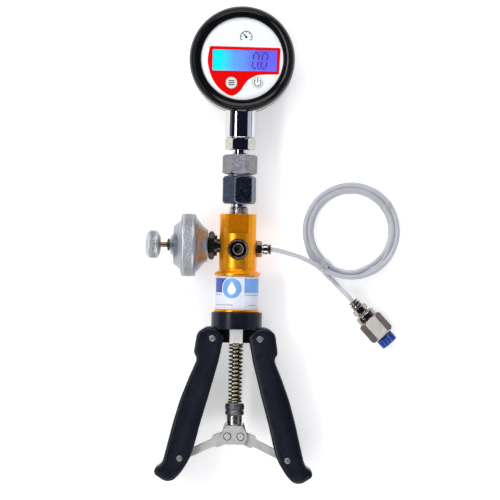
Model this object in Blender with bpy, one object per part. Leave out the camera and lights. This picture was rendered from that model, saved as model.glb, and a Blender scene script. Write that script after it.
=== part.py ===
"""Hand vacuum pump with a digital gauge, a volume adjuster and a coiled hose.

The pump lies on its back, and its gauge rests on the ground. The origin is the centre of the
gauge's flat back. +Y runs up the pump towards the gauge, +X to the hose side, and +Z out of the
gauge's face. Lengths are in millimetres until add_object turns them into metres.

A place along the pump is its distance down from the gauge's centre, so 150 means Y = -150.
"""

import math

import bmesh
import bpy
from mathutils import Matrix, Vector

MM = 0.001
GAP = 0.3  # between neighbours that touch in the real pump
RUN = 0.3  # radial clearance of everything that turns or slides

FINE, COARSE, SMALL_HEX = 24, 16, 12  # sides of large, small round and small hexagonal shapes
AXIS_HEIGHT = 26.5  # the pump's axis over the ground
UP, DOWN_PUMP = Vector((0, 0, 1)), Vector((0, -1, 0))
OUT_LEFT, OUT_RIGHT = Vector((-1, 0, 0)), Vector((1, 0, 0))

# Gauge, heights over the ground
GAUGE_RADIUS = 44.0
CASE_RADIUS = 40.3
CASE_WALL = 2.8
CASE_FRONT = 41.5
FACE_TOP = 43.0
FACE_RADIUS = 34.4
BOOT_BACK, BOOT_FRONT = 4.0, 46.5
LCD = (-24.5, 29.3, -9.7, 8.8)  # left, right, bottom and top of the opening
BUTTONS = {"menu_button": (-8.5, -20.2, 5.1), "power_button": (13.3, -19.7, 4.5)}
BOARD = (34.2, 35.8)
BATTERY_PLACE = (0, 15.0, 11.5)
BATTERY_RADIUS, BATTERY_LENGTH = 7.0, 48.0

# Down the pump, distances from the gauge's centre
STEM_START, STEM_HEX, STEM_NECK, STEM_END = 34.0, 65.3, 75.6, 92.0
STEM_RADIUS = 13.0
UNION_TOP, UNION_GAP, UNION_MIDDLE, UNION_END = 79.5, 95.8, 97.4, 120.6
UNION_FLATS = 25.4
LOWER_HEX_TURN = -16.0
HEAD_TOP, FLANGE_TOP, HEAD_END, SPIGOT_END = 129.2, 176.4, 181.0, 186.0
HEAD_RADIUS, FLANGE_RADIUS, SPIGOT_RADIUS = 15.8, 19.3, 13.7
FRONT_FLAT_HEIGHT, FRONT_FLAT_HALF, FRONT_FLAT_END = 13.54, 8.15, 145.5
SELECTOR_AT, ADJUSTER_AT, FITTING_AT = 158.6, 156.0, 158.2
CYLINDER_OUTER, CYLINDER_BORE, CYLINDER_END = 17.2, 12.5, 222.3
LABEL_RADIUS = 18.06
LIP_TOP, LIP_END, LIP_RADIUS = 209.4, 211.2, 19.0
COLLAR_TOP, COLLAR_END, COLLAR_RADIUS = 211.5, 225.5, 21.3
YOKE_TOP, YOKE_END, YOKE_HALF = 225.8, 237.1, 5.45
PISTON_TOP, PISTON_END = 203.5, 211.5
ROD_RADIUS, ROD_END = 3.0, 303.5
SPRING_TOP, SPRING_END = 237.4, 287.8
SPRING_RADIUS, SPRING_WIRE, SPRING_TURNS = 5.55, 1.7, 15.5
NUTS = {"knurled_nut_upper": (288.1, 293.8), "knurled_nut_lower": (294.1, 297.8)}
NUT_RADIUS = 8.2
ROD_HEAD_TOP, PLATE_TOP, ROD_HEAD_RADIUS = 298.1, 306.5, 6.6

# Handles and links: X is for the right side, and the left side mirrors it
PIVOT = (19.9, 233.5)
LINK_PIN = (45.1, 334.4)
HEAD_PIN = (5.6, 315.6)
HANDLE_HALF_DEPTH, CHANNEL_HALF = 13.0, 6.2
PIN_RADIUS = 2.6
LINK_HALF = 3.0
PLATE_INNER, PLATE_OUTER = 3.4, 5.9
OPEN_PIVOT_HOLE, RIVET_SHANK = 3.1, 1.7

# Volume adjuster and vent, distances out from the pump's axis to the left
KNOB_RADIUS, KNOB_START, KNOB_END = 26.4, 25.6, 56.9
GLAND = (17.6, 25.1, 20.6)  # start, end and distance across its flats
VENT_RADIUS, VENT_START, VENT_END = 11.85, 65.1, 77.7

# Hose and connector
HOSE_RADIUS = 2.0
HOSE_EXIT = 27.4
COIL_CENTRE = (95.5, -141.1)
COIL_INNER, COIL_OUTER, COIL_HEIGHT = 31.4, 41.4, 8.2
TIE_ANGLE = math.radians(231)
CONNECTOR_START = (97.8, -200.6)
CONNECTOR_ANGLE = math.radians(-47.05)
CONNECTOR_FLATS = 18.9
CAP_RADIUS = 7.4


# ---------------------------------------------------------------- tools


def clear_scene():
    for obj in list(bpy.data.objects):
        bpy.data.objects.remove(obj)


def finish(name, colour, roughness, metallic=0.0):
    """A material of one colour."""
    made = bpy.data.materials.new(name)
    made.use_nodes = True
    made.diffuse_color = (*colour, 1)
    shader = made.node_tree.nodes["Principled BSDF"]
    shader.inputs["Base Color"].default_value = (*colour, 1)
    shader.inputs["Roughness"].default_value = roughness
    shader.inputs["Metallic"].default_value = metallic
    return made


def empty(name, height):
    made = bpy.data.objects.new(name, None)
    made.location = (0, 0, height * MM)
    bpy.context.collection.objects.link(made)
    return made


def facing(direction):
    """The turn that takes Z to a level direction and leaves Y pointing up."""
    if direction == UP:
        return Matrix.Identity(3)
    return Matrix((UP.cross(direction), UP, direction)).transposed()


def add_object(name, shape, look, parent, at=(0, 0, 0), direction=UP, roll=0.0):
    """Turns a bmesh in millimetres into an object, with its own Z along the direction."""
    bmesh.ops.scale(shape, vec=(MM, MM, MM), verts=shape.verts)
    bmesh.ops.recalc_face_normals(shape, faces=shape.faces)
    mesh = bpy.data.meshes.new(name)
    shape.to_mesh(mesh)
    shape.free()
    mesh.shade_smooth()
    mesh.set_sharp_from_angle(angle=math.radians(32))
    mesh.materials.append(look)
    made = bpy.data.objects.new(name, mesh)
    bpy.context.collection.objects.link(made)
    made.parent = parent
    made.location = Vector(at) * MM
    made.rotation_euler = (facing(direction) @ Matrix.Rotation(roll, 3, "Z")).to_euler()
    return made


def boolean(target, other, operation="DIFFERENCE", solver="EXACT"):
    """Cuts or joins with another object, which becomes a hidden helper.

    The manifold solver is for a target whose many crossing bores leave the exact one open edges.
    """
    other.hide_render = True
    other.display_type = "WIRE"
    made = target.modifiers.new(other.name, "BOOLEAN")
    made.operation = operation
    made.solver = solver
    made.object = other


def lathe(stations, closed=False, count=COARSE):
    """Rings about Z, each given as (place along Z, radius), where a radius may be a function.

    A radius of 0 is a single point. A closed shape joins its last ring to its first.
    """
    shape = bmesh.new()
    rings = []
    for place, radius in stations:
        if radius == 0:
            rings.append([shape.verts.new((0, 0, place))])
            continue
        ring = []
        for step in range(count):
            angle = 2 * math.pi * step / count
            reach = radius(angle) if callable(radius) else radius
            ring.append(shape.verts.new((reach * math.cos(angle), reach * math.sin(angle), place)))
        rings.append(ring)
    pairs = list(zip(rings, rings[1:]))
    if closed:
        pairs.append((rings[-1], rings[0]))
    for first, second in pairs:
        for step in range(count):
            following = (step + 1) % count
            corners = (
                first[step % len(first)],
                first[following % len(first)],
                second[following % len(second)],
                second[step % len(second)],
            )
            shape.faces.new(list(dict.fromkeys(corners)))
    return shape


def solid(stations, count=COARSE):
    """A turned solid, closed at both ends."""
    return lathe([(stations[0][0], 0), *stations, (stations[-1][0], 0)], count=count)


def sleeve(outer, bore, count=COARSE):
    """A turned shape with a through bore: its outer stations, then its bore's, both in order."""
    return lathe([*outer, *reversed(bore)], closed=True, count=count)


def rod(radius, start, end, count=COARSE):
    return solid([(start, radius), (end, radius)], count)


def hexagon(flats, most=math.inf):
    """The radius of a hexagon with a face towards Y, with its corners cut at a radius."""

    def radius(angle):
        from_face = (angle - math.pi / 2 + math.pi / 6) % (math.pi / 3) - math.pi / 6
        return min(flats / 2 / math.cos(from_face), most)

    return radius


def hex_stations(flats, start, end, bevel=1.2):
    """Stations of a hexagon bar with its corners turned off at both ends."""
    whole, cut = hexagon(flats), hexagon(flats, flats / 2 * 1.02)
    return [(start, cut), (start + bevel, whole), (end - bevel, whole), (end, cut)]


def slab(outline, low, high):
    """An outline in X and Y, extruded along Z."""
    shape = bmesh.new()
    bottom = [shape.verts.new((x, y, low)) for x, y in outline]
    top = [shape.verts.new((x, y, high)) for x, y in outline]
    shape.faces.new(reversed(bottom))
    shape.faces.new(top)
    for i in range(len(outline)):
        j = (i + 1) % len(outline)
        shape.faces.new((bottom[i], bottom[j], top[j], top[i]))
    return shape


def block(left, right, bottom, top, low, high):
    return slab([(left, bottom), (right, bottom), (right, top), (left, top)], low, high)


def arc(centre, radius, start, end, steps):
    """Points on a circle from one angle in degrees to another."""
    angles = [math.radians(start + (end - start) * i / steps) for i in range(steps + 1)]
    return [(centre[0] + radius * math.cos(a), centre[1] + radius * math.sin(a)) for a in angles]


def curve_through(points, spacing):
    """Points about a spacing apart on a smooth curve through the given ones."""
    ends = [2 * points[0] - points[1], *points, 2 * points[-1] - points[-2]]
    line = []
    for a, b, c, d in zip(ends, ends[1:], ends[2:], ends[3:]):
        steps = max(1, round((c - b).length / spacing))
        for i in range(steps):
            t = i / steps
            line.append(
                b
                + (c - a) * (t / 2)
                + (2 * a - 5 * b + 4 * c - d) * (t * t / 2)
                + (3 * b - a - 3 * c + d) * (t**3 / 2)
            )
    return [*line, points[-1]]


def hose(name, route, look, parent):
    """A tube of the hose's diameter along a route."""
    curve = bpy.data.curves.new(name, "CURVE")
    curve.dimensions = "3D"
    curve.bevel_depth = HOSE_RADIUS * MM
    curve.bevel_resolution = 2
    curve.use_fill_caps = True
    line = curve_through([Vector(point) for point in route], 9.0)
    spline = curve.splines.new("POLY")
    spline.points.add(len(line) - 1)
    for point, place in zip(spline.points, line):
        point.co = (*(place * MM), 1)
    curve.materials.append(look)
    made = bpy.data.objects.new(name, curve)
    bpy.context.collection.objects.link(made)
    made.parent = parent
    return made


# ---------------------------------------------------------------- gauge


def make_gauge(base, looks):
    """Everything in and on the gauge, with its axis along Z."""
    case = add_object(
        "gauge_case",
        lathe(
            [
                (0, 0),
                (0, CASE_RADIUS - 3),
                (3, CASE_RADIUS),
                (CASE_FRONT, CASE_RADIUS),
                (CASE_FRONT, CASE_RADIUS - CASE_WALL),
                (3, CASE_RADIUS - CASE_WALL),
                (3, 0),
            ],
            count=FINE,
        ),
        looks["case"],
        base,
    )
    boot = add_object(
        "gauge_boot",
        lathe(
            [
                (BOOT_BACK, GAUGE_RADIUS - 0.8),
                (BOOT_BACK + 1.5, GAUGE_RADIUS),
                (BOOT_FRONT - 3, GAUGE_RADIUS),
                (BOOT_FRONT - 0.6, GAUGE_RADIUS - 1.6),
                (BOOT_FRONT, GAUGE_RADIUS - 3.6),
                (BOOT_FRONT - 0.5, GAUGE_RADIUS - 5),
                (BOOT_FRONT - 1.8, FACE_RADIUS + 0.5),
                (FACE_TOP + GAP, FACE_RADIUS),
                (FACE_TOP + GAP, CASE_RADIUS + GAP),
                (BOOT_BACK, CASE_RADIUS + GAP),
            ],
            closed=True,
            count=FINE,
        ),
        looks["boot"],
        base,
    )
    for target, radius in ((case, 6.9), (boot, STEM_RADIUS + GAP)):
        hole = rod(radius, 30, 50, FINE)
        at = (0, 0, AXIS_HEIGHT)
        boolean(target, add_object(f"{target.name}_stem_hole", hole, looks["boot"], base, at, DOWN_PUMP))
    hatch = block(-28, 28, 6, 24, -1, 4)
    boolean(case, add_object("battery_hatch_hole", hatch, looks["case"], base))
    add_object("battery_cover", block(-27.7, 27.7, 6.3, 23.7, 0.3, 2.7), looks["case"], base)

    left, right, bottom, top = LCD
    face = add_object(
        "gauge_faceplate",
        rod(CASE_RADIUS - 0.8, CASE_FRONT + GAP, FACE_TOP, FINE),
        looks["face"],
        base,
    )
    window = block(left, right, bottom, top, 40, 45)
    boolean(face, add_object("lcd_opening", window, looks["face"], base))
    add_object(
        "lcd_window",
        block(left + GAP, right - GAP, bottom + GAP, top - GAP, CASE_FRONT + 0.6, FACE_TOP - 0.3),
        looks["window"],
        base,
    )
    add_object(
        "lcd_module",
        block(left - 1, right + 1, bottom - 1, top + 1, BOARD[1] + 0.7, CASE_FRONT),
        looks["lcd"],
        base,
    )
    for name, (x, y, radius) in BUTTONS.items():
        hole = add_object(f"{name}_hole", rod(radius, 40, 45), looks["face"], base, (x, y, 0))
        boolean(face, hole)
        stem_end = BOARD[1] + 0.7 - FACE_TOP
        reach = radius - RUN
        stations = [(stem_end, 1.5), (-2.6, 1.5), (-2.6, reach), (0.3, reach), (0.6, reach - 0.3)]
        add_object(name, solid(stations), looks["button"], base, (x, y, FACE_TOP))
    board = rod(CASE_RADIUS - CASE_WALL - 1, *BOARD, FINE)
    add_object("circuit_board", board, looks["board"], base)
    cell = rod(BATTERY_RADIUS, -BATTERY_LENGTH / 2, BATTERY_LENGTH / 2)
    add_object("battery", cell, looks["battery"], base, BATTERY_PLACE, OUT_RIGHT)


def make_stem_and_union(axis, looks):
    """The sensor, the gauge's stem and the union under it."""
    sensor = rod(7, 17, STEM_START - GAP)
    add_object("pressure_sensor", sensor, looks["steel"], axis, direction=DOWN_PUMP)
    stem = [
        (STEM_START, 6.5),
        (41.5, 6.5),
        (41.5, STEM_RADIUS - 0.5),
        (42, STEM_RADIUS),
        (STEM_HEX - 0.6, STEM_RADIUS),
        (STEM_HEX, STEM_RADIUS - 0.8),
        *hex_stations(22.4, STEM_HEX + 0.01, STEM_NECK, 0.8),
        (STEM_NECK, 6.4),
        (STEM_END, 6.4),
    ]
    bore = [(STEM_START, 1.8), (STEM_END, 1.8)]
    add_object("gauge_stem", sleeve(stem, bore, FINE), looks["chrome"], axis, direction=DOWN_PUMP)

    adapter = [
        *hex_stations(UNION_FLATS, UNION_TOP, UNION_GAP, 1.0),
        (UNION_GAP, 10.1),
        (98.6, 10.1),
        (98.6, 8.4),
        (108, 8.4),
    ]
    bore = [(UNION_TOP, 6.4 + GAP), (STEM_END + GAP, 6.4 + GAP), (STEM_END + GAP, 3), (108, 3)]
    add_object("union_adapter", sleeve(adapter, bore, FINE), looks["grey_steel"], axis, direction=DOWN_PUMP)

    nut = hex_stations(UNION_FLATS, UNION_MIDDLE, UNION_END, 1.4)
    bore = [(UNION_MIDDLE, 10.5), (99, 10.5), (99, 8.8), (108.4, 8.8), (108.4, 7.2), (UNION_END, 7.2)]
    nut_shape, turn = sleeve(nut, bore, FINE), math.radians(LOWER_HEX_TURN)
    add_object("union_nut", nut_shape, looks["dark_steel"], axis, direction=DOWN_PUMP, roll=turn)

    nipple = [(108.7, 6.85), (123.6, 6.85), (123.6, 8.2), (139, 8.2)]
    bore = [(108.7, 3), (139, 3)]
    add_object("inlet_nipple", sleeve(nipple, bore), looks["steel"], axis, direction=DOWN_PUMP)


# ---------------------------------------------------------------- head and cylinder


def make_head(axis, looks):
    """The gold head block, with its bores, the selector and the two check balls."""
    head = add_object(
        "pump_head",
        solid(
            [
                (HEAD_TOP, HEAD_RADIUS - 0.5),
                (HEAD_TOP + 0.5, HEAD_RADIUS),
                (FLANGE_TOP, HEAD_RADIUS),
                (FLANGE_TOP + 1.8, FLANGE_RADIUS),
                (HEAD_END, FLANGE_RADIUS),
                (HEAD_END, SPIGOT_RADIUS),
                (SPIGOT_END, SPIGOT_RADIUS),
            ],
            FINE,
        ),
        looks["gold"],
        axis,
        direction=DOWN_PUMP,
    )
    across, flat_end = FRONT_FLAT_HALF, -FRONT_FLAT_END
    cuts = {
        "nipple_bore": (rod(8.5, -20, 10), (0, -HEAD_TOP, 0), DOWN_PUMP),
        "gauge_passage": (rod(1.5, 0, 18, 8), (0, -139, 0), DOWN_PUMP),
        "front_flat": (block(-across, across, flat_end, -120, FRONT_FLAT_HEIGHT, 20), (0, 0, 0), UP),
        "side_flat": (block(14.8, 20, -150.4, -120, -5.6, 5.6), (0, 0, 0), UP),
        "selector_bore": (rod(4.4, -30, 30), (0, -SELECTOR_AT, 0), UP),
        "selector_seat": (rod(8.7, 10.7, 30), (0, -SELECTOR_AT, 0), UP),
        "adjuster_bore": (rod(5.1, 6.8, 30), (0, -ADJUSTER_AT, 0), OUT_LEFT),
        "adjuster_seat": (rod(6.5, 11.1, 30), (0, -ADJUSTER_AT, 0), OUT_LEFT),
        "fitting_bore": (rod(4.3, 8.2, 30), (0, -FITTING_AT, 0), OUT_RIGHT),
        "fitting_seat": (rod(7.3, 14.4, 30), (0, -FITTING_AT, 0), OUT_RIGHT),
        "cross_passage": (rod(1.0, -7, 8.5, 8), (0, -FITTING_AT, 0), OUT_RIGHT),
    }
    for side in (-1, 1):
        cuts[f"valve_pocket_{side}"] = (rod(2.6, 175, 190, 12), (side * 5.5, 0, 0), DOWN_PUMP)
        cuts[f"valve_passage_{side}"] = (rod(1.0, 160, 176, 8), (side * 3.6, 0, 0), DOWN_PUMP)
    for name, (shape, at, direction) in cuts.items():
        cutter = add_object(name, shape, looks["gold"], axis, at, direction)
        boolean(head, cutter, solver="MANIFOLD")

    ring = [(11, 8.4), (16, 8.4), (16.4, 7.9)]
    bore = [(11, 4.6), (13.4, 4.9), (16.3, 7.4)]
    selector = (0, -SELECTOR_AT, 0)
    add_object("selector_ring", sleeve(ring, bore), looks["nickel"], axis, selector, UP)
    spool = [(-19.8, 3.7), (-19.4, 4.1), (12, 4.1), (12.4, 3.7), (12.4, 1.7), (10.6, 1.2)]
    add_object("selector_spool", solid(spool), looks["black_metal"], axis, selector, UP)

    for name, side in (("inlet_check_ball", -1), ("outlet_check_ball", 1)):
        ball = bmesh.new()
        bmesh.ops.create_uvsphere(ball, u_segments=10, v_segments=6, radius=2.2)
        add_object(name, ball, looks["steel"], axis, (side * 5.5, -181, 0))


def make_cylinder(axis, looks):
    """The cylinder under the head, with its label, collar, rod guide and yoke."""
    outer = [
        (HEAD_END + GAP, CYLINDER_OUTER),
        (LIP_TOP, CYLINDER_OUTER),
        (LIP_TOP, LIP_RADIUS - 0.8),
        (LIP_TOP + 0.8, LIP_RADIUS),
        (LIP_END, LIP_RADIUS),
        (LIP_END, CYLINDER_OUTER),
        (CYLINDER_END, CYLINDER_OUTER),
    ]
    seat = SPIGOT_END + GAP
    bore = [
        (HEAD_END + GAP, SPIGOT_RADIUS + GAP),
        (seat, SPIGOT_RADIUS + GAP),
        (seat, CYLINDER_BORE),
        (CYLINDER_END, CYLINDER_BORE),
    ]
    add_object("cylinder", sleeve(outer, bore, FINE), looks["gold"], axis, direction=DOWN_PUMP)
    label = (HEAD_END + 0.4, LIP_TOP - GAP)
    outer = [(place, LABEL_RADIUS) for place in label]
    bore = [(place, CYLINDER_OUTER + GAP) for place in label]
    add_object("label_sleeve", sleeve(outer, bore, FINE), looks["label"], axis, direction=DOWN_PUMP)

    outer = [
        (COLLAR_TOP, COLLAR_RADIUS - 0.4),
        (COLLAR_TOP + 0.4, COLLAR_RADIUS),
        (COLLAR_END - 0.4, COLLAR_RADIUS),
        (COLLAR_END, COLLAR_RADIUS - 0.4),
    ]
    floor, wall = CYLINDER_END + GAP, CYLINDER_OUTER + GAP
    bore = [(COLLAR_TOP, wall), (floor, wall), (floor, 6.2), (COLLAR_END, 6.2)]
    add_object("collar", sleeve(outer, bore, FINE), looks["black"], axis, direction=DOWN_PUMP)

    outer, bore = [(217.5, 12.2), (CYLINDER_END, 12.2)], [(217.5, 3.3), (CYLINDER_END, 3.3)]
    add_object("rod_guide", sleeve(outer, bore), looks["bronze"], axis, direction=DOWN_PUMP)

    x, pivot_at = PIVOT
    lug_top = -(pivot_at - 5.2)
    outline = [
        *arc((x, -pivot_at), 5.2, -45, 90, 6),
        (12, lug_top),
        (-12, lug_top),
        *arc((-x, -pivot_at), 5.2, 90, 225, 6),
        (-12, -YOKE_END),
        (12, -YOKE_END),
    ]
    yoke = add_object("pivot_yoke", slab(outline, -5, 5), looks["aluminium"], axis)
    centre = block(-YOKE_HALF, YOKE_HALF, -YOKE_END, -YOKE_TOP, -12, 12)
    boolean(yoke, add_object("yoke_block", centre, looks["aluminium"], axis), "UNION")
    spigot = rod(5.9, 223, YOKE_TOP + 2)
    spigot = add_object("yoke_spigot", spigot, looks["aluminium"], axis, direction=DOWN_PUMP)
    boolean(yoke, spigot, "UNION")
    bore = rod(ROD_RADIUS + RUN, 200, 260)
    boolean(yoke, add_object("yoke_bore", bore, looks["aluminium"], axis, direction=DOWN_PUMP))
    for side in (-1, 1):
        hole, at = rod(PIN_RADIUS + RUN, -20, 20), (side * x, -pivot_at, 0)
        boolean(yoke, add_object(f"yoke_hole_{side}", hole, looks["aluminium"], axis, at))


# ---------------------------------------------------------------- piston and linkage


def coil_spring():
    """A compression spring about Z, from the yoke to the upper nut, with closed end turns."""
    sides, per_turn = 4, 9
    steps = round(SPRING_TURNS * per_turn)
    low, high = SPRING_TOP + SPRING_WIRE / 2, SPRING_END - SPRING_WIRE / 2
    close_pitch, close_turns = SPRING_WIRE * 1.15, 1.0
    open_pitch = (high - low - 2 * close_turns * close_pitch) / (SPRING_TURNS - 2 * close_turns)

    def place(turns):
        left = SPRING_TURNS - turns
        if turns < close_turns:
            return low + turns * close_pitch
        if left < close_turns:
            return high - left * close_pitch
        return low + close_turns * close_pitch + (turns - close_turns) * open_pitch

    shape = bmesh.new()
    rings = []
    for step in range(steps + 1):
        turns = step / per_turn
        angle = 2 * math.pi * turns
        ring = []
        for side in range(sides):
            around = 2 * math.pi * side / sides
            reach = SPRING_RADIUS + SPRING_WIRE / 2 * math.cos(around)
            along = place(turns) + SPRING_WIRE / 2 * math.sin(around)
            ring.append(shape.verts.new((reach * math.cos(angle), reach * math.sin(angle), along)))
        rings.append(ring)
    for first, second in zip(rings, rings[1:]):
        for side in range(sides):
            other = (side + 1) % sides
            shape.faces.new((first[side], first[other], second[other], second[side]))
    shape.faces.new(rings[0])
    shape.faces.new(reversed(rings[-1]))
    return shape


def make_piston(axis, looks):
    """The piston, its rod, the spring with its two nuts, and the rod head."""
    outer = [
        (PISTON_TOP, 11.8),
        (PISTON_TOP + 0.4, 12.2),
        (206.3, 12.2),
        (206.3, 10.6),
        (208.7, 10.6),
        (208.7, 12.2),
        (PISTON_END, 12.2),
    ]
    bore = [(PISTON_TOP, ROD_RADIUS + GAP), (PISTON_END, ROD_RADIUS + GAP)]
    add_object("piston", sleeve(outer, bore), looks["aluminium"], axis, direction=DOWN_PUMP)
    ring, bore = [(206.6, 12.35), (208.4, 12.35)], [(206.6, 10.9), (208.4, 10.9)]
    add_object("piston_seal", sleeve(ring, bore), looks["rubber"], axis, direction=DOWN_PUMP)
    shaft = rod(ROD_RADIUS, PISTON_TOP + 0.5, ROD_END)
    add_object("piston_rod", shaft, looks["steel"], axis, direction=DOWN_PUMP)
    add_object("return_spring", coil_spring(), looks["spring"], axis, direction=DOWN_PUMP)
    for name, (start, end) in NUTS.items():
        outer = [
            (start, NUT_RADIUS - 0.6),
            (start + 0.6, NUT_RADIUS),
            (end - 0.6, NUT_RADIUS),
            (end, NUT_RADIUS - 0.6),
        ]
        bore = [(start, ROD_RADIUS + GAP), (end, ROD_RADIUS + GAP)]
        add_object(name, sleeve(outer, bore), looks["dark_steel"], axis, direction=DOWN_PUMP)

    outer = [(ROD_HEAD_TOP, ROD_HEAD_RADIUS), (PLATE_TOP - GAP, ROD_HEAD_RADIUS)]
    rod_head = add_object("rod_head", solid(outer), looks["steel"], axis, direction=DOWN_PUMP)
    socket = rod(ROD_RADIUS + GAP, ROD_HEAD_TOP - 5, ROD_END + GAP)
    boolean(rod_head, add_object("rod_socket", socket, looks["steel"], axis, direction=DOWN_PUMP))
    tongue = block(-4.6, 4.6, -309.8, -305, -PLATE_INNER + GAP, PLATE_INNER - GAP)
    boolean(rod_head, add_object("rod_tongue", tongue, looks["steel"], axis), "UNION")


def plate_outline(has_ears):
    """One side plate of the rod head. The back plate's two ears stand up beside the rod."""
    ears = [(7.1, -PLATE_TOP), (7.1, -304.6), (7.9, -304.6)] if has_ears else [(6.9, -PLATE_TOP)]
    right = [*ears, (10.7, -314.2), (11.0, -316.6), (9.4, -321.4), (8.4, -322.4)]
    return [*right, *[(-x, y) for x, y in reversed(right)]]


def make_rod_head_plates(axis, looks):
    x, pin_at = HEAD_PIN
    for name, side in (("head_plate_front", 1), ("head_plate_back", -1)):
        low, high = sorted((side * PLATE_INNER, side * PLATE_OUTER))
        plate = add_object(name, slab(plate_outline(side < 0), low, high), looks["stainless"], axis)
        for pin_side in (-1, 1):
            hole = rod(2.9 + GAP, -10, 10)
            place = (pin_side * x, -pin_at, 0)
            boolean(plate, add_object(f"{name}_hole_{pin_side}", hole, looks["stainless"], axis, place))
    head, shank = PLATE_OUTER + 0.2, PLATE_INNER + 0.1
    middle = [(-shank, RIVET_SHANK), (shank, RIVET_SHANK)]
    stations = [(-head, 2.9), (-shank, 2.9), *middle, (shank, 2.9), (head, 2.9)]
    for name, side in (("head_pin_left", -1), ("head_pin_right", 1)):
        add_object(name, solid(stations), looks["steel"], axis, (side * x, -pin_at, 0))


def handle_outline():
    """The right handle seen from the front: down its outer edge, round its foot and up again."""
    x, y = PIVOT[0], -PIVOT[1]
    outer = [
        (21.3, -225.9),
        (21.6, -223.8),
        (25.5, -224.4),
        (32.7, -228.8),
        (35.2, -245.5),
        (33.0, -249.3),
        (32.8, -252.3),
        (45.9, -285.3),
        (51.1, -303.7),
        (56.6, -326.4),
        (59.2, -336.7),
        (61.0, -339.8),
    ]
    foot = [*arc((61.6, -345.6), 4.6, 62, -48, 5), *arc((54.6, -344.2), 9.5, -62, -128, 4)]
    inner = [
        (44.2, -347.0),
        (38.2, -337.5),
        (35.2, -331.1),
        (32.7, -322.1),
        (28.4, -304.6),
        (22.1, -282.3),
        (14.2, -252.3),
        (11.3, -237.4),
        (x - 9.6, y + 0.8),
        (x - 8.9, y + 3.2),
    ]
    return [*outer, *foot, *inner, *arc((x, y), 7.6, 140, 88, 4)]


def channel_outline():
    """What is cut out of the middle of a handle, open towards the spring."""
    return [
        (2, -215),
        (29.5, -215),
        (30.2, -246),
        (28.8, -252),
        (41.4, -286),
        (46.6, -304.5),
        (52.0, -327),
        (52.2, -338),
        (47, -343),
        (30, -343),
        (10, -300),
    ]


def link_outline():
    """A link about its handle pin, pointing along X to its pin in the rod head."""
    far = math.dist(LINK_PIN, HEAD_PIN)
    side = [(4.5, 3.15), (far - 13.2, 3.15), (far - 11.4, 5.4), (far - 6.6, 5.4)]
    below = [(x, -y) for x, y in side]
    return [
        *arc((0, 0), 4.5, 44, 316, 9),
        *below,
        *arc((far, 0), 4.3, -95, 95, 8),
        *reversed(side),
    ]


def make_handle(axis, looks, name, side):
    """One handle with its two pins, and its link. The side is -1 on the left and 1 on the right."""
    pivot, link_pin = (Vector((side * x, -y)) for x, y in (PIVOT, LINK_PIN))
    head_pin = Vector((side * HEAD_PIN[0], -HEAD_PIN[1]))

    def about(outline, centre):
        return [(side * px - centre.x, py - centre.y) for px, py in outline]

    at, depth = (*pivot, 0), HANDLE_HALF_DEPTH
    bar = slab(about(handle_outline(), pivot), -depth, depth)
    handle = add_object(f"handle_{name}", bar, looks["black"], axis, at)
    rounded = handle.modifiers.new("rounded_edges", "BEVEL")
    rounded.width = 2.2 * MM
    rounded.segments = 1
    rounded.limit_method = "ANGLE"
    rounded.angle_limit = math.radians(60)
    channel = slab(about(channel_outline(), pivot), -CHANNEL_HALF, CHANNEL_HALF)
    boolean(handle, add_object(f"channel_{name}", channel, looks["black"], axis, at), solver="MANIFOLD")
    for label, place in (("pivot", pivot), ("link", link_pin)):
        hole = rod(PIN_RADIUS + RUN, -20, 20)
        cutter = add_object(f"{label}_hole_{name}", hole, looks["black"], axis, (*place, 0))
        boolean(handle, cutter, solver="MANIFOLD")
        pin = rod(PIN_RADIUS, -depth - 0.1, depth + 0.1)
        add_object(f"{label}_pin_{name}", pin, looks["stainless"], axis, (*place, 0))

    angle = math.atan2(head_pin.y - link_pin.y, head_pin.x - link_pin.x)
    bar = slab(link_outline(), -LINK_HALF, LINK_HALF)
    link = add_object(f"link_{name}", bar, looks["stainless"], axis, (*link_pin, 0))
    link.rotation_euler = (0, 0, angle)
    holes = {"near": (PIN_RADIUS + RUN, link_pin), "far": (OPEN_PIVOT_HOLE, head_pin)}
    for label, (radius, place) in holes.items():
        hole = rod(radius, -10, 10)
        cutter = add_object(f"link_hole_{label}_{name}", hole, looks["stainless"], axis, (*place, 0))
        boolean(link, cutter)


# ---------------------------------------------------------------- volume adjuster and vent


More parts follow.
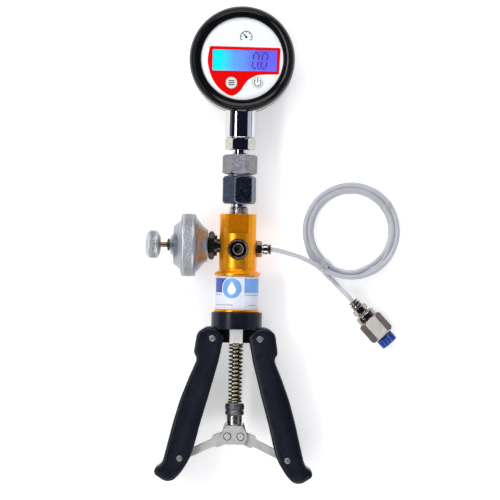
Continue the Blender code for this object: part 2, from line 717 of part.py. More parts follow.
def make_adjuster(axis, looks):
    """The fine volume adjuster on the left, with the vent valve along its axis."""
    at = (0, -ADJUSTER_AT, 0)
    start, end, flats = GLAND
    outer = [
        (start, hexagon(flats, flats / 2 * 0.86)),
        (start + 2.4, hexagon(flats)),
        (end - 0.8, hexagon(flats)),
        (end, hexagon(flats, flats / 2 * 1.02)),
    ]
    bore = [(start, 6.3), (end, 6.3)]
    add_object("gland_nut", sleeve(outer, bore, FINE), looks["black_metal"], axis, at, OUT_LEFT)

    outer = [(11.4, 6.2), (15.1, 6.2), (15.1, 5.9), (25.4, 5.9), (25.4, 7.6), (44.5, 7.6)]
    bore = [(11.4, 4.9), (44.5, 4.9)]
    add_object("adjuster_barrel", sleeve(outer, bore), looks["steel"], axis, at, OUT_LEFT)

    flare = [(KNOB_START + 8.2 * i / 2, 13.4 + 8.2 * (i / 2) ** 1.5) for i in range(3)]
    shell = [(48 + 5.8 * i / 2, 22 - 5.3 * (i / 2) ** 0.6) for i in range(3)]
    outer = [
        *flare,
        (35.2, 22.2),
        (35.9, KNOB_RADIUS - 0.8),
        (36.7, KNOB_RADIUS),
        (46.8, KNOB_RADIUS),
        (47.6, KNOB_RADIUS - 0.8),
        *shell,
        (54.5, 9.2),
        (KNOB_END, 6.0),
    ]
    bore = [(KNOB_START, 8), (46.3, 8), (46.3, 4.9), (KNOB_END, 4.9)]
    add_object("volume_knob", sleeve(outer, bore, FINE), looks["knob"], axis, at, OUT_LEFT)

    outer = [(7.3, 4.6), (KNOB_END + 0.3, 4.6)]
    bore = [(7.3, 1.0), (9.2, 1.0), (11.6, 2.6), (KNOB_END + 0.3, 2.6)]
    add_object("adjuster_piston", sleeve(outer, bore), looks["steel"], axis, at, OUT_LEFT)
    outer = [(KNOB_END + 0.6, 5.2), (58.9, 5.2), (59.5, 4.4)]
    bore = [(KNOB_END + 0.6, 2.6), (59.5, 2.6)]
    add_object("adjuster_end_bush", sleeve(outer, bore), looks["black_metal"], axis, at, OUT_LEFT)

    needle = solid([(9.6, 0.7), (12.2, 2.2), (15, 2.2)])
    add_object("vent_needle", needle, looks["steel"], axis, at, OUT_LEFT)
    add_object("vent_spindle", rod(2.3, 15.3, 67), looks["bronze"], axis, at, OUT_LEFT)
    outer = [
        (VENT_START, 7.2),
        (VENT_START + 2.6, VENT_RADIUS),
        (VENT_END - 2.6, VENT_RADIUS),
        (VENT_END, 8.8),
        (VENT_END, 0),
    ]
    socket = [(67.4, 0), (67.4, 2.3 + GAP), (VENT_START, 2.3 + GAP)]
    add_object("vent_knob", lathe([*socket, *outer], count=FINE), looks["knob"], axis, at, OUT_LEFT)


# ---------------------------------------------------------------- hose and connector


def push_in_ring(name, start, flange, looks, parent, at, direction):
    """A push-in fitting's release ring, with its flange out of the fitting's mouth."""
    outer = [
        (start, flange - 0.3),
        (start + 0.3, flange),
        (start + 1.5, flange),
        (start + 1.5, 3.0),
        (start + 5, 3.0),
    ]
    bore = [(start, HOSE_RADIUS + GAP), (start + 5, HOSE_RADIUS + GAP)]
    add_object(name, sleeve(outer, bore), looks["black_metal"], parent, at, direction)


def make_hose(axis, base, looks):
    """The fitting in the head, the hose with its coil, and the connector on its end."""
    at = (0, -FITTING_AT, 0)
    outer = [
        (8.5, 4.0),
        (14.7, 4.0),
        *hex_stations(11.8, 14.71, 20.2, 0.6),
        (20.2, 4.4),
        (24.9, 4.4),
        (25.1, 4.2),
    ]
    bore = [(8.5, 1.6), (17.5, 1.6), (17.5, 3.3), (25.1, 3.3)]
    add_object("hose_fitting", sleeve(outer, bore, SMALL_HEX), looks["nickel"], axis, at, OUT_RIGHT)
    mouth = (HOSE_EXIT, -FITTING_AT, 0)
    push_in_ring("fitting_release_ring", 0, 4.2, looks, axis, mouth, OUT_LEFT)

    height = AXIS_HEIGHT
    cx, cy = COIL_CENTRE
    outward = Vector((math.cos(TIE_ANGLE), math.sin(TIE_ANGLE), 0))
    tangent = Vector((-math.sin(TIE_ANGLE), math.cos(TIE_ANGLE), 0))
    tie = Vector((cx, cy, 0)) + (COIL_OUTER - HOSE_RADIUS) * outward
    on_top = COIL_HEIGHT + HOSE_RADIUS + GAP
    route = [
        (21.5, -FITTING_AT, height),
        (27.6, -FITTING_AT - 0.1, height),
        (34.6, -159.4, height - 1.3),
        (43.6, -161.6, height - 6.0),
        (52.3, -164.0, height - 11.0),
        (60.2, -166.9, height - 14.4),
        tie - 4 * tangent + outward * 0.5 + UP * (on_top + 0.3),
        tie + 4 * tangent + UP * on_top,
    ]
    hose("hose_lead_in", route, looks["hose"], base)

    bevel = 1.5
    outer = [
        (0.1, COIL_OUTER - bevel),
        (bevel, COIL_OUTER),
        (COIL_HEIGHT - bevel, COIL_OUTER),
        (COIL_HEIGHT, COIL_OUTER - bevel),
    ]
    bore = [
        (0.1, COIL_INNER + bevel),
        (bevel, COIL_INNER),
        (COIL_HEIGHT - bevel, COIL_INNER),
        (COIL_HEIGHT, COIL_INNER + bevel),
    ]
    add_object("hose_coil", sleeve(outer, bore, FINE), looks["hose"], base, (cx, cy, 0))

    direction = Vector((math.cos(CONNECTOR_ANGLE), math.sin(CONNECTOR_ANGLE), 0))
    mouth = Vector((*CONNECTOR_START, CONNECTOR_FLATS / 2))
    leave = Vector((cx, cy, 0)) + (COIL_OUTER + HOSE_RADIUS + 0.6) * outward
    route = [
        leave + 1.5 * tangent + UP * 2.1,
        leave + 8 * tangent + UP * 2.1,
        mouth - 18 * direction - UP * 6.2,
        mouth - 9 * direction - UP * 2.2,
        mouth - 2 * direction - UP * 0.15,
        mouth + 5.8 * direction,
    ]
    hose("hose_tail", route, looks["hose"], base)

    push_in_ring("connector_release_ring", 0, 4.35, looks, base, mouth, direction)
    body = [
        (2.3, 4.6),
        (2.6, 4.85),
        (7.2, 4.85),
        *hex_stations(11.7, 7.21, 12.4, 0.6),
        (12.4, 6.2),
        (14.4, 8.0),
        (15, 8.6),
        (20.2, 8.6),
        *hex_stations(CONNECTOR_FLATS, 20.21, 39.2, 1.8),
    ]
    bore = [(2.3, 3.3), (9, 3.3), (9, 2), (24, 2), (24, 5.6), (39.2, 5.6)]
    add_object("connector_body", sleeve(body, bore, SMALL_HEX), looks["nickel"], base, mouth, direction)

    lobes = 12

    def ribbed(angle):
        return CAP_RADIUS - 0.55 * (round(angle * 24 / (2 * math.pi)) % 2)

    cap = [
        (30, 5.3),
        (39.5, 5.3),
        (39.5, CAP_RADIUS - 0.6),
        (40.1, ribbed),
        (47.2, ribbed),
        (47.9, CAP_RADIUS - 1.2),
    ]
    add_object("blue_cap", solid(cap, 2 * lobes), looks["blue"], base, mouth, direction)


def main():
    clear_scene()
    looks = {
        "case": finish("case_plastic", (0.03, 0.03, 0.035), 0.5),
        "boot": finish("boot_rubber", (0.012, 0.012, 0.013), 0.25),
        "face": finish("face_print", (0.93, 0.94, 0.94), 0.45),
        "window": finish("window_glass", (0.55, 0.65, 0.95), 0.08),
        "lcd": finish("lcd_blue", (0.2, 0.35, 0.9), 0.3),
        "button": finish("button_grey", (0.82, 0.82, 0.8), 0.5),
        "board": finish("board_green", (0.03, 0.22, 0.08), 0.5),
        "battery": finish("battery_wrap", (0.05, 0.08, 0.3), 0.4),
        "chrome": finish("chrome_steel", (0.75, 0.77, 0.8), 0.08, 1.0),
        "steel": finish("plain_steel", (0.56, 0.57, 0.58), 0.3, 1.0),
        "grey_steel": finish("grey_steel", (0.5, 0.5, 0.51), 0.4, 1.0),
        "dark_steel": finish("dark_steel", (0.13, 0.14, 0.16), 0.35, 1.0),
        "nickel": finish("nickel_plate", (0.52, 0.5, 0.47), 0.2, 1.0),
        "gold": finish("gold_anodised", (0.83, 0.42, 0.04), 0.25, 1.0),
        "label": finish("label_paper", (0.82, 0.84, 0.92), 0.5),
        "black": finish("black_anodised", (0.012, 0.014, 0.02), 0.45, 0.3),
        "black_metal": finish("black_oxide", (0.02, 0.02, 0.02), 0.25, 0.6),
        "aluminium": finish("bright_aluminium", (0.75, 0.75, 0.74), 0.35, 1.0),
        "stainless": finish("stainless_sheet", (0.66, 0.66, 0.65), 0.35, 1.0),
        "bronze": finish("bronze", (0.35, 0.22, 0.1), 0.3, 1.0),
        "rubber": finish("seal_rubber", (0.02, 0.02, 0.02), 0.6),
        "spring": finish("spring_steel", (0.5, 0.46, 0.36), 0.25, 1.0),
        "knob": finish("knob_aluminium", (0.55, 0.58, 0.62), 0.3, 1.0),
        "hose": finish("clear_hose", (0.78, 0.8, 0.86), 0.25),
        "blue": finish("cap_blue", (0.02, 0.1, 0.5), 0.35),
    }
    base = empty("ground_point", 0)
    axis = empty("pump_axis", AXIS_HEIGHT)
    make_gauge(base, looks)
    make_stem_and_union(axis, looks)
    make_head(axis, looks)
    make_cylinder(axis, looks)
    make_piston(axis, looks)
    make_rod_head_plates(axis, looks)
    for name, side in (("left", -1), ("right", 1)):
        make_handle(axis, looks, name, side)
    make_adjuster(axis, looks)
    make_hose(axis, base, looks)


main()
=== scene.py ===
"""The looks of the hand vacuum pump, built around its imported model.

The pump lies on its back, seen from straight above. +Y runs up the pump to the gauge, +X to the hose
and +Z out of the gauge's face. Lengths are in millimetres until in_metres() changes them, and a
place along the pump is its distance down from the gauge's centre, so 150 means Y = -150.
"""

import math

import bmesh
import bpy
from mathutils import Matrix, Vector


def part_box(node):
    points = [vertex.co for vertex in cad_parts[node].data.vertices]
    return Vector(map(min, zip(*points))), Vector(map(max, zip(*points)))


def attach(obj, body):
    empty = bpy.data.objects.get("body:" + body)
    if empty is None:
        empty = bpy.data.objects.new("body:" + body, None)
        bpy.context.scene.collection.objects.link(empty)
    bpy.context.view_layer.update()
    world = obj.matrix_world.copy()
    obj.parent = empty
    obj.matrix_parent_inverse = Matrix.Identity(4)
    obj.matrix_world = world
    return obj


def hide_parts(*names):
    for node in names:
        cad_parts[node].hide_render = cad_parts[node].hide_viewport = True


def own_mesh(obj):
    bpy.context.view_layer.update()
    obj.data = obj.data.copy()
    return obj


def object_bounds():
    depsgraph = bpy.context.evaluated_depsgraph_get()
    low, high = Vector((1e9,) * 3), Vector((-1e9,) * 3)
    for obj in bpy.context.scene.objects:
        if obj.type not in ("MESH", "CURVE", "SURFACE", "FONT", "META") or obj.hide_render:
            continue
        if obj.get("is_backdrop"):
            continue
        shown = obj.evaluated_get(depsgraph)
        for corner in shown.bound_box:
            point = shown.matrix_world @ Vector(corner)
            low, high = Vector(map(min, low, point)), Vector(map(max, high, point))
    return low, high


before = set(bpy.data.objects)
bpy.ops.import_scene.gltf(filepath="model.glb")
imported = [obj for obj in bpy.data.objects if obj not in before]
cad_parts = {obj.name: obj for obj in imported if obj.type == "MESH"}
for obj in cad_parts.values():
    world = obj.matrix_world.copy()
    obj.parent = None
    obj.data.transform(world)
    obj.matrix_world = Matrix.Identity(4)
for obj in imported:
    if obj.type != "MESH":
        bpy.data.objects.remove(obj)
cad_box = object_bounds()

MM = 0.001
GAP = 0.3  # between neighbours, as in the CAD model
FINE, SMOOTH, SMALL = 180, 96, 48  # sides of large, middling and small turned shapes
UP, DOWN_PUMP = Vector((0, 0, 1)), Vector((0, -1, 0))
OUT_LEFT, OUT_RIGHT = Vector((-1, 0, 0)), Vector((1, 0, 0))


def box(node):
    """A node's lowest and highest corners, in millimetres."""
    low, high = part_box(node)
    return low / MM, high / MM


def down(node):
    """Where a node starts and ends down the pump."""
    low, high = box(node)
    return -high.y, -low.y


def middle(node):
    low, high = box(node)
    return (low + high) / 2


def half_width(node, axis=0):
    low, high = box(node)
    return (high[axis] - low[axis]) / 2


AXIS_HEIGHT = middle("piston_rod").z
CONNECTOR_ANGLE = math.radians(-47.05)
CONNECTOR_DIRECTION = Vector((math.cos(CONNECTOR_ANGLE), math.sin(CONNECTOR_ANGLE), 0))
CONNECTOR_MOUTH = Vector((97.8, -200.6, 9.45))
CONNECTOR_FLATS = 18.9


# ---------------------------------------------------------------- materials

looks = {}  # every material, by its short name


class Look:
    """A material with short calls for its nodes. Sizes of texture features are in millimetres."""

    def __init__(self, name, slot, colour, roughness, metallic=0.0, **sockets):
        self.slot = slot
        self.material = bpy.data.materials.new(name)
        self.material.use_nodes = True
        self.tree = self.material.node_tree
        self.shader = self.tree.nodes["Principled BSDF"]
        self.colour, self.roughness = (*colour, 1), roughness
        values = {"Base Color": self.colour, "Roughness": roughness, "Metallic": metallic}
        for socket, value in {**values, **sockets}.items():
            self.shader.inputs[socket.replace("_", " ")].default_value = value
        self.place = self.add("TexCoord").outputs["Object"]

    def add(self, kind, inputs=None, **settings):
        made = self.tree.nodes.new("ShaderNode" + kind)
        for name, value in settings.items():
            setattr(made, name, value)
        for socket, value in (inputs or {}).items():
            if isinstance(value, bpy.types.NodeSocket):
                self.tree.links.new(value, made.inputs[socket])
            else:
                made.inputs[socket].default_value = value
        return made

    def noise(self, size, stretch=(1, 1, 1), detail=3.0):
        """Noise whose features are about this size, drawn out along an axis by its stretch."""
        scale = [1 / (size * MM * s) for s in stretch]
        scaled = self.add("Mapping", {"Vector": self.place, "Scale": scale})
        inputs = {"Vector": scaled.outputs["Vector"], "Scale": 1.0, "Detail": detail}
        return self.add("TexNoise", inputs).outputs["Fac"]

    def between(self, value, low, high, least=0.35, most=0.65):
        inputs = {"Value": value, "From Min": least, "From Max": most, "To Min": low, "To Max": high}
        return self.add("MapRange", inputs).outputs["Result"]

    def mix(self, share, first, second):
        """The numbers are the places of a mix node's colour sockets."""
        return self.add("Mix", {0: share, 6: first, 7: second}, data_type="RGBA").outputs[2]

    def set(self, socket, value):
        self.tree.links.new(value, self.shader.inputs[socket])
        return self

    def vary(self, size, colour=0.0, roughness=0.0):
        """Slow changes of brightness and roughness over the surface."""
        slow = self.noise(size)
        if colour:
            dark = [c * (1 - colour) for c in self.colour[:3]] + [1]
            self.set("Base Color", self.mix(self.between(slow, 0, 1), dark, self.colour))
        if roughness:
            low, high = self.roughness * (1 - roughness), self.roughness * (1 + roughness)
            self.set("Roughness", self.between(self.noise(size * 0.4), low, high))
        return self

    def bump(self, height, depth, strength=1.0):
        """Surface relief. Its depth is in millimetres."""
        inputs = {"Height": height, "Distance": depth * MM, "Strength": strength}
        if self.shader.inputs["Normal"].is_linked:
            inputs["Normal"] = self.shader.inputs["Normal"].links[0].from_socket
        return self.set("Normal", self.add("Bump", inputs).outputs["Normal"])

    def grained(self, size, depth):
        """Bumps of about this size all over."""
        return self.bump(self.noise(size), depth)

    def turned(self, axis, depth=0.012, pitch=0.25):
        """Fine lathe marks round the given axis."""
        stretch = [200.0 if i != "xyz".index(axis) else 1.0 for i in range(3)]
        return self.bump(self.noise(pitch, stretch, 2.0), depth)

    def brushed(self, axis, depth=0.01, pitch=0.15):
        """Fine marks drawn out along the given axis."""
        stretch = [60.0 if i == "xyz".index(axis) else 1.0 for i in range(3)]
        return self.bump(self.noise(pitch, stretch, 2.0), depth)

    def on_top(self, share, colour):
        """Lays a colour over the one the material has."""
        base = self.shader.inputs["Base Color"]
        under = base.links[0].from_socket if base.is_linked else self.colour
        return self.set("Base Color", self.mix(share, under, (*colour, 1)))

    def lighter_edges(self, bright, reach=0.55):
        """A lighter colour on the edges, where the mesh is most convex."""
        point = self.add("NewGeometry").outputs["Pointiness"]
        return self.on_top(self.between(point, 0, reach, 0.515, 0.6), bright)

    def darker_hollows(self, dark):
        """A darker colour in the grooves, where the mesh is most hollow."""
        point = self.add("NewGeometry").outputs["Pointiness"]
        return self.on_top(self.between(point, 0.9, 0, 0.40, 0.49), dark)


def make_looks():
    """Makes every material. A second one of a slot is for faces that are made differently, or for faces
    that get a lighter or darker copy of a material as painted light.
    """

    def look(name, slot, colour, roughness, metallic=0.0, **sockets):
        looks[name] = Look(name, slot, colour, roughness, metallic, **sockets)
        return looks[name]

    look("case", "case_plastic", (0.02, 0.02, 0.022), 0.5).vary(12, 0.2, 0.2).grained(0.5, 0.02)
    boot = look("boot", "boot_rubber", (0.005, 0.005, 0.006), 0.14, Specular_IOR_Level=0.2)
    boot.vary(9, 0.3, 0.25).grained(3.0, 0.008)
    look("face", "face_print", (0.93, 0.96, 0.965), 0.35).vary(20, 0.03, 0.15).grained(0.3, 0.004)
    red = look("red", "face_print", (0.80, 0.0, 0.0), 0.6, Specular_IOR_Level=0.08)
    red.vary(14, 0.06, 0.15).grained(0.3, 0.004)
    look("ink", "face_print", (0.03, 0.05, 0.06), 0.5).vary(3, 0.3, 0.15).grained(0.3, 0.004)
    look("pale_ink", "face_print", (0.55, 0.62, 0.64), 0.5).vary(3, 0.1, 0.15).grained(0.3, 0.004)
    look("button", "button_grey", (0.80, 0.80, 0.77), 0.45).vary(4, 0.06, 0.1).grained(0.4, 0.006)
    window = look("window", "window_glass", (1.0, 1.0, 1.0), 0.03, IOR=1.3, Transmission_Weight=1.0)
    window.vary(5, 0.01, 0.3).grained(4.0, 0.001)
    make_display_look(look)
    look("segments", "lcd_blue", (0.10, 0.09, 0.62), 0.4).vary(3, 0.15, 0.15).grained(0.4, 0.002)

    chrome = look("chrome", "chrome_steel", (0.66, 0.665, 0.67), 0.07, 1.0)
    chrome.vary(8, 0.08, 0.3).turned("y", 0.003, 0.6)
    # A warmer, duller copy of the chrome for the stem hexagon's side faces: a painted reflection.
    side_reflection_chrome = look("chrome_side_reflection", "chrome_steel", (0.62, 0.60, 0.53), 0.35, 0.6)
    side_reflection_chrome.vary(5, 0.12, 0.25).brushed("y", 0.005)
    look("steel", "plain_steel", (0.55, 0.56, 0.58), 0.26, 1.0).vary(5, 0.15, 0.3).turned("y", 0.01)
    grey = look("grey_steel", "grey_steel", (0.24, 0.24, 0.25), 0.4, 1.0)
    grey.vary(5, 0.15, 0.2).brushed("y", 0.006, 0.4)
    # A lighter copy of the grey steel for the union's top faces: real scratches, with painted light that
    # makes the top face brighter.
    scratched_lit_top = look("scratched_lit_top_steel", "grey_steel", (0.44, 0.44, 0.50), 0.5, 0.75)
    scratched_lit_top.vary(4, 0.25, 0.3).brushed("y", 0.012, 0.35).grained(1.5, 0.01)
    dark = look("dark_steel", "dark_steel", (0.10, 0.125, 0.18), 0.32, 1.0)
    dark.vary(4, 0.3, 0.3).grained(0.7, 0.006).lighter_edges((0.5, 0.52, 0.56))
    knurled = look("knurled_steel", "dark_steel", (0.14, 0.145, 0.145), 0.4, 1.0)
    knurled.vary(3, 0.3, 0.3).grained(0.5, 0.006).lighter_edges((0.45, 0.45, 0.45), 0.7)
    look("rod_steel", "plain_steel", (0.44, 0.435, 0.43), 0.3, 1.0).vary(4, 0.2, 0.2).turned("y", 0.003)
    look("nickel", "nickel_plate", (0.42, 0.38, 0.34), 0.17, 1.0).vary(4, 0.25, 0.4).grained(1.6, 0.004)
    # A dark copy of the nickel for the connector hexagon's faces: painted shade.
    shaded_side = look("shaded_side_nickel", "nickel_plate", (0.10, 0.082, 0.075), 0.34, 1.0)
    shaded_side.vary(5, 0.25, 0.25).brushed("y", 0.006)
    # A pale copy of the nickel for the hexagon's top and bottom faces: painted light.
    lit_top = look("lit_top_nickel", "nickel_plate", (0.74, 0.72, 0.65), 0.5, 0.45)
    lit_top.vary(5, 0.1, 0.25).grained(1.4, 0.006)
    seat = look("selector_metal", "nickel_plate", (0.20, 0.19, 0.18), 0.16, 1.0)
    seat.vary(3, 0.3, 0.3).turned("z", 0.006)
    look("gold", "gold_anodised", (1.0, 0.38, 0.008), 0.34, 0.72).vary(9, 0.08, 0.2).turned("y", 0.003)
    # A darker, duller copy of the gold for the head's top flat, set for how that face is lit: painted
    # shade.
    top_flat_shaded_gold = look("top_flat_shaded_gold", "gold_anodised", (0.53, 0.165, 0.0), 0.5, 0.5, Specular_IOR_Level=0.1)
    top_flat_shaded_gold.vary(6, 0.1, 0.2).brushed("x", 0.006)
    look("label", "label_paper", (0.80, 0.83, 0.92), 0.42).vary(9, 0.06, 0.15).grained(0.7, 0.006)
    look("label_dark", "label_paper", (0.05, 0.09, 0.42), 0.4).vary(5, 0.12, 0.15).grained(0.7, 0.005)
    look("label_light", "label_paper", (0.20, 0.43, 0.86), 0.4).vary(5, 0.12, 0.15).grained(0.7, 0.005)
    look("label_grey", "label_paper", (0.33, 0.35, 0.42), 0.5).vary(3, 0.2, 0.15).grained(0.7, 0.005)
    look("label_white", "label_paper", (0.92, 0.93, 0.95), 0.4).vary(5, 0.04, 0.15).grained(0.7, 0.005)
    black = look("black", "black_anodised", (0.008, 0.010, 0.017), 0.3, Specular_IOR_Level=0.2)
    black.vary(16, 0.25, 0.2).grained(0.5, 0.004).grained(6.0, 0.03).lighter_edges((0.03, 0.035, 0.05), 0.35)
    # Black oxide, which also serves as painted shade on the yoke's lugs.
    look("oxide_and_shade", "black_oxide", (0.035, 0.033, 0.03), 0.2, 0.7).vary(3, 0.4, 0.3).grained(0.9, 0.006)
    bright = look("aluminium", "bright_aluminium", (0.96, 0.96, 0.95), 0.5, 0.3)
    bright.vary(4, 0.1, 0.2).brushed("y", 0.008).grained(0.5, 0.006)
    sheet = look("stainless", "stainless_sheet", (0.68, 0.68, 0.665), 0.45, 0.5)
    sheet.vary(6, 0.08, 0.2).brushed("x", 0.006).grained(0.6, 0.006)
    # A dark material for the edges of the cut sheets: painted shade.
    edge = look("painted_edge_shade", "stainless_sheet", (0.045, 0.042, 0.04), 0.5, 0.6)
    edge.vary(2, 0.4, 0.2).grained(0.5, 0.01)
    look("pin", "stainless_sheet", (0.42, 0.43, 0.44), 0.45, 1.0).vary(1.5, 0.3, 0.2).grained(0.4, 0.03)
    look("bronze", "bronze", (0.34, 0.21, 0.09), 0.2, 1.0).vary(3, 0.4, 0.3).turned("x", 0.006)
    look("spring", "spring_steel", (0.42, 0.37, 0.25), 0.2, 1.0).vary(4, 0.35, 0.35).grained(0.5, 0.01)
    knob = look("knob", "knob_aluminium", (0.38, 0.41, 0.45), 0.36, 0.95)
    knob.vary(9, 0.06, 0.15).turned("x", 0.004, 0.35)
    knurl = look("knurl", "knob_aluminium", (0.58, 0.60, 0.63), 0.4, 0.85).vary(6, 0.08, 0.2)
    knurl.grained(0.5, 0.004).darker_hollows((0.10, 0.105, 0.11)).lighter_edges((0.76, 0.78, 0.81), 0.6)
    make_hose_looks(look)
    blue = look("blue", "cap_blue", (0.012, 0.06, 0.36), 0.3, Specular_IOR_Level=0.6)
    blue.vary(4, 0.2, 0.25).grained(0.7, 0.012)
    look("board", "board_green", (0.03, 0.22, 0.08), 0.45).vary(3, 0.3, 0.2).grained(0.6, 0.01)
    look("battery", "battery_wrap", (0.05, 0.08, 0.3), 0.35).vary(6, 0.2, 0.2).grained(2.0, 0.01)
    look("rubber", "seal_rubber", (0.02, 0.02, 0.02), 0.6).vary(3, 0.2, 0.1).grained(0.5, 0.01)


def make_display_look(look):
    """The backlit display, cyan at its left and violet-blue at its right."""
    lcd = look("display", "lcd_blue", (0.2, 0.35, 0.95), 0.3, Emission_Strength=0.35)
    left, right = (side.x * MM for side in box("lcd_module"))
    across = lcd.add("SeparateXYZ", {"Vector": lcd.place}).outputs["X"]
    share = lcd.between(across, 0, 1, left, right)
    ramp = lcd.add("ValToRGB", {"Fac": share})
    cyan = [(0.0, (0.0, 0.95, 1.0)), (0.13, (0.0, 0.90, 1.0))]
    stops = [*cyan, (0.34, (0.13, 0.44, 1.0)), (0.72, (0.16, 0.15, 0.95))]
    while len(ramp.color_ramp.elements) < len(stops):
        ramp.color_ramp.elements.new(0.5)
    for element, (place, colour) in zip(ramp.color_ramp.elements, stops):
        element.position, element.color = place, (*colour, 1)
    colour = ramp.outputs["Color"]
    lcd.set("Base Color", colour).set("Emission Color", colour).vary(6, 0.0, 0.15).grained(0.4, 0.002)


def make_hose_looks(look):
    """The half-clear hose and the clear ties round its coil."""
    hose = look("hose", "clear_hose", (0.72, 0.73, 0.79), 0.16, IOR=1.4, Transmission_Weight=0.4)
    hose.vary(14, 0.08, 0.3).grained(2.5, 0.03)
    tie = look("tie", "clear_hose", (0.97, 0.98, 1.0), 0.12, IOR=1.35, Transmission_Weight=0.75)
    tie.vary(3, 0.05, 0.3).grained(0.8, 0.03)


# ---------------------------------------------------------------- tools


def facing(direction):
    """The turn that takes Z to a level direction and leaves Y pointing up."""
    if direction == UP:
        return Matrix.Identity(4)
    rows = (UP.cross(direction), UP, direction)
    return Matrix(rows).transposed().to_4x4()


def at_place(place, direction=UP, roll=0.0):
    return Matrix.Translation(place) @ facing(direction) @ Matrix.Rotation(roll, 4, "Z")


def on_axis():
    """Local Z is the height above the pump's axis."""
    return at_place((0, 0, AXIS_HEIGHT))


def on_floor(node):
    """Local Z is the height above the floor, over a node's middle."""
    return at_place(middle(node).xy.to_3d())


def down_pump(roll=0.0):
    """Local Z is the distance down the pump, and local Y points up."""
    return at_place((0, 0, AXIS_HEIGHT), DOWN_PUMP, roll)


def in_scene(name, data):
    made = bpy.data.objects.new(name, data)
    bpy.context.scene.collection.objects.link(made)
    return made


def in_metres(name, shape):
    """Turns a bmesh in millimetres into a mesh in metres."""
    bmesh.ops.scale(shape, vec=(MM, MM, MM), verts=shape.verts)
    bmesh.ops.recalc_face_normals(shape, faces=shape.faces)
    mesh = bpy.data.meshes.new(name)
    shape.to_mesh(mesh)
    shape.free()
    return mesh


def piece(name, shape, look, body="root", node=None, where=None, bevel=0.0, smooth=28):
    """Turns a bmesh in millimetres into a piece that rides on a body and may replace its CAD node."""
    bmesh.ops.transform(shape, matrix=where or Matrix.Identity(4), verts=shape.verts)
    mesh = in_metres(name, shape)
    mesh.shade_smooth()
    mesh.set_sharp_from_angle(angle=math.radians(smooth))
    mesh.materials.append(looks[look].material)
    made = in_scene(name, mesh)
    if bevel:
        soften(made, bevel)
    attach(made, body)
    if node:
        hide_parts(node)
    return made


def soften(made, width, segments=3):
    """Rounds the sharp edges, so that they catch the light."""
    rounded = made.modifiers.new("soft_edges", "BEVEL")
    rounded.width = width * MM
    rounded.segments = segments
    rounded.limit_method = "ANGLE"
    rounded.angle_limit = math.radians(35)
    rounded.harden_normals = True


def cut(target, *cutters, operation="DIFFERENCE"):
    """Applies Booleans with bmesh shapes in millimetres, in the row frame."""
    for shape in cutters:
        tool = in_scene("cutter", in_metres("cutter", shape))
        made = target.modifiers.new("cut", "BOOLEAN")
        made.operation, made.solver, made.object = operation, "MANIFOLD", tool
        settle(target)
        bpy.data.objects.remove(tool)
    target.data.set_sharp_from_angle(angle=math.radians(24))
    return target


def settle(made):
    """Puts the result of a piece's modifiers into its mesh."""
    graph = bpy.context.evaluated_depsgraph_get()
    mesh = bpy.data.meshes.new_from_object(made.evaluated_get(graph))
    made.modifiers.clear()
    made.data = mesh


def moved(shape, where):
    bmesh.ops.transform(shape, matrix=where, verts=shape.verts)
    return shape


def joined(*shapes):
    """Several shapes in one bmesh."""
    whole = bmesh.new()
    for shape in shapes:
        mesh = bpy.data.meshes.new("part")
        shape.to_mesh(mesh)
        shape.free()
        whole.from_mesh(mesh)
        bpy.data.meshes.remove(mesh)
    return whole


def bridge(shape, first, second):
    """The faces between two rings of vertices, either of which may be a single point."""
    count = max(len(first), len(second))
    for i in range(count):
        j = (i + 1) % count
        near, far = [first[k % len(first)] for k in (i, j)], [second[k % len(second)] for k in (j, i)]
        shape.faces.new(list(dict.fromkeys([*near, *far])))


def lathe(stations, closed=False, count=SMOOTH):
    """Rings about Z, each given as (place along Z, radius), where a radius may be a function."""
    shape = bmesh.new()
    rings = []
    for place, radius in stations:
        if radius == 0:
            rings.append([shape.verts.new((0, 0, place))])
            continue
        ring = []
        for step in range(count):
            angle = 2 * math.pi * step / count
            reach = radius(angle) if callable(radius) else radius
            ring.append(shape.verts.new((reach * math.cos(angle), reach * math.sin(angle), place)))
        rings.append(ring)
    following = [*rings[1:], rings[0]] if closed else rings[1:]
    for first, second in zip(rings, following):
        bridge(shape, first, second)
    return shape


def solid(stations, count=SMOOTH):
    """A turned solid, closed at both ends."""
    return lathe([(stations[0][0], 0), *stations, (stations[-1][0], 0)], count=count)


def sleeve(outer, bore, count=SMOOTH):
    """A turned shape with a through bore: its outer stations, then its bore's, both in order."""
    return lathe([*outer, *reversed(bore)], closed=True, count=count)


def rod(radius, start, end, count=SMOOTH):
    return solid([(start, radius), (end, radius)], count)


def filleted(corners, fillet, steps=4):
    """A line of corners with each corner between its ends turned into a small arc."""
    line = [Vector(corner) for corner in corners]
    made = [line[0]]
    for before, corner, after in zip(line, line[1:], line[2:]):
        back, ahead = before - corner, after - corner
        reach = min(fillet, back.length * 0.45, ahead.length * 0.45)
        start, end = corner + back.normalized() * reach, corner + ahead.normalized() * reach
        for i in range(steps + 1):
            t = i / steps
            made.append(start * (1 - t) ** 2 + corner * 2 * t * (1 - t) + end * t * t)
    return [tuple(point) for point in [*made, line[-1]]]


def ring_round(corners, fillet, steps=4):
    """A closed line of corners, with every corner turned into a small arc."""
    around = [corners[-1], *corners, corners[0]]
    return filleted(around, fillet, steps)[1:-1]


def hexagon(flats, most=math.inf):
    """The radius of a hexagon with a face towards Y, with its corners cut at a radius."""

    def radius(angle):
        from_face = (angle - math.pi / 2 + math.pi / 6) % (math.pi / 3) - math.pi / 6
        return min(flats / 2 / math.cos(from_face), most)

    return radius


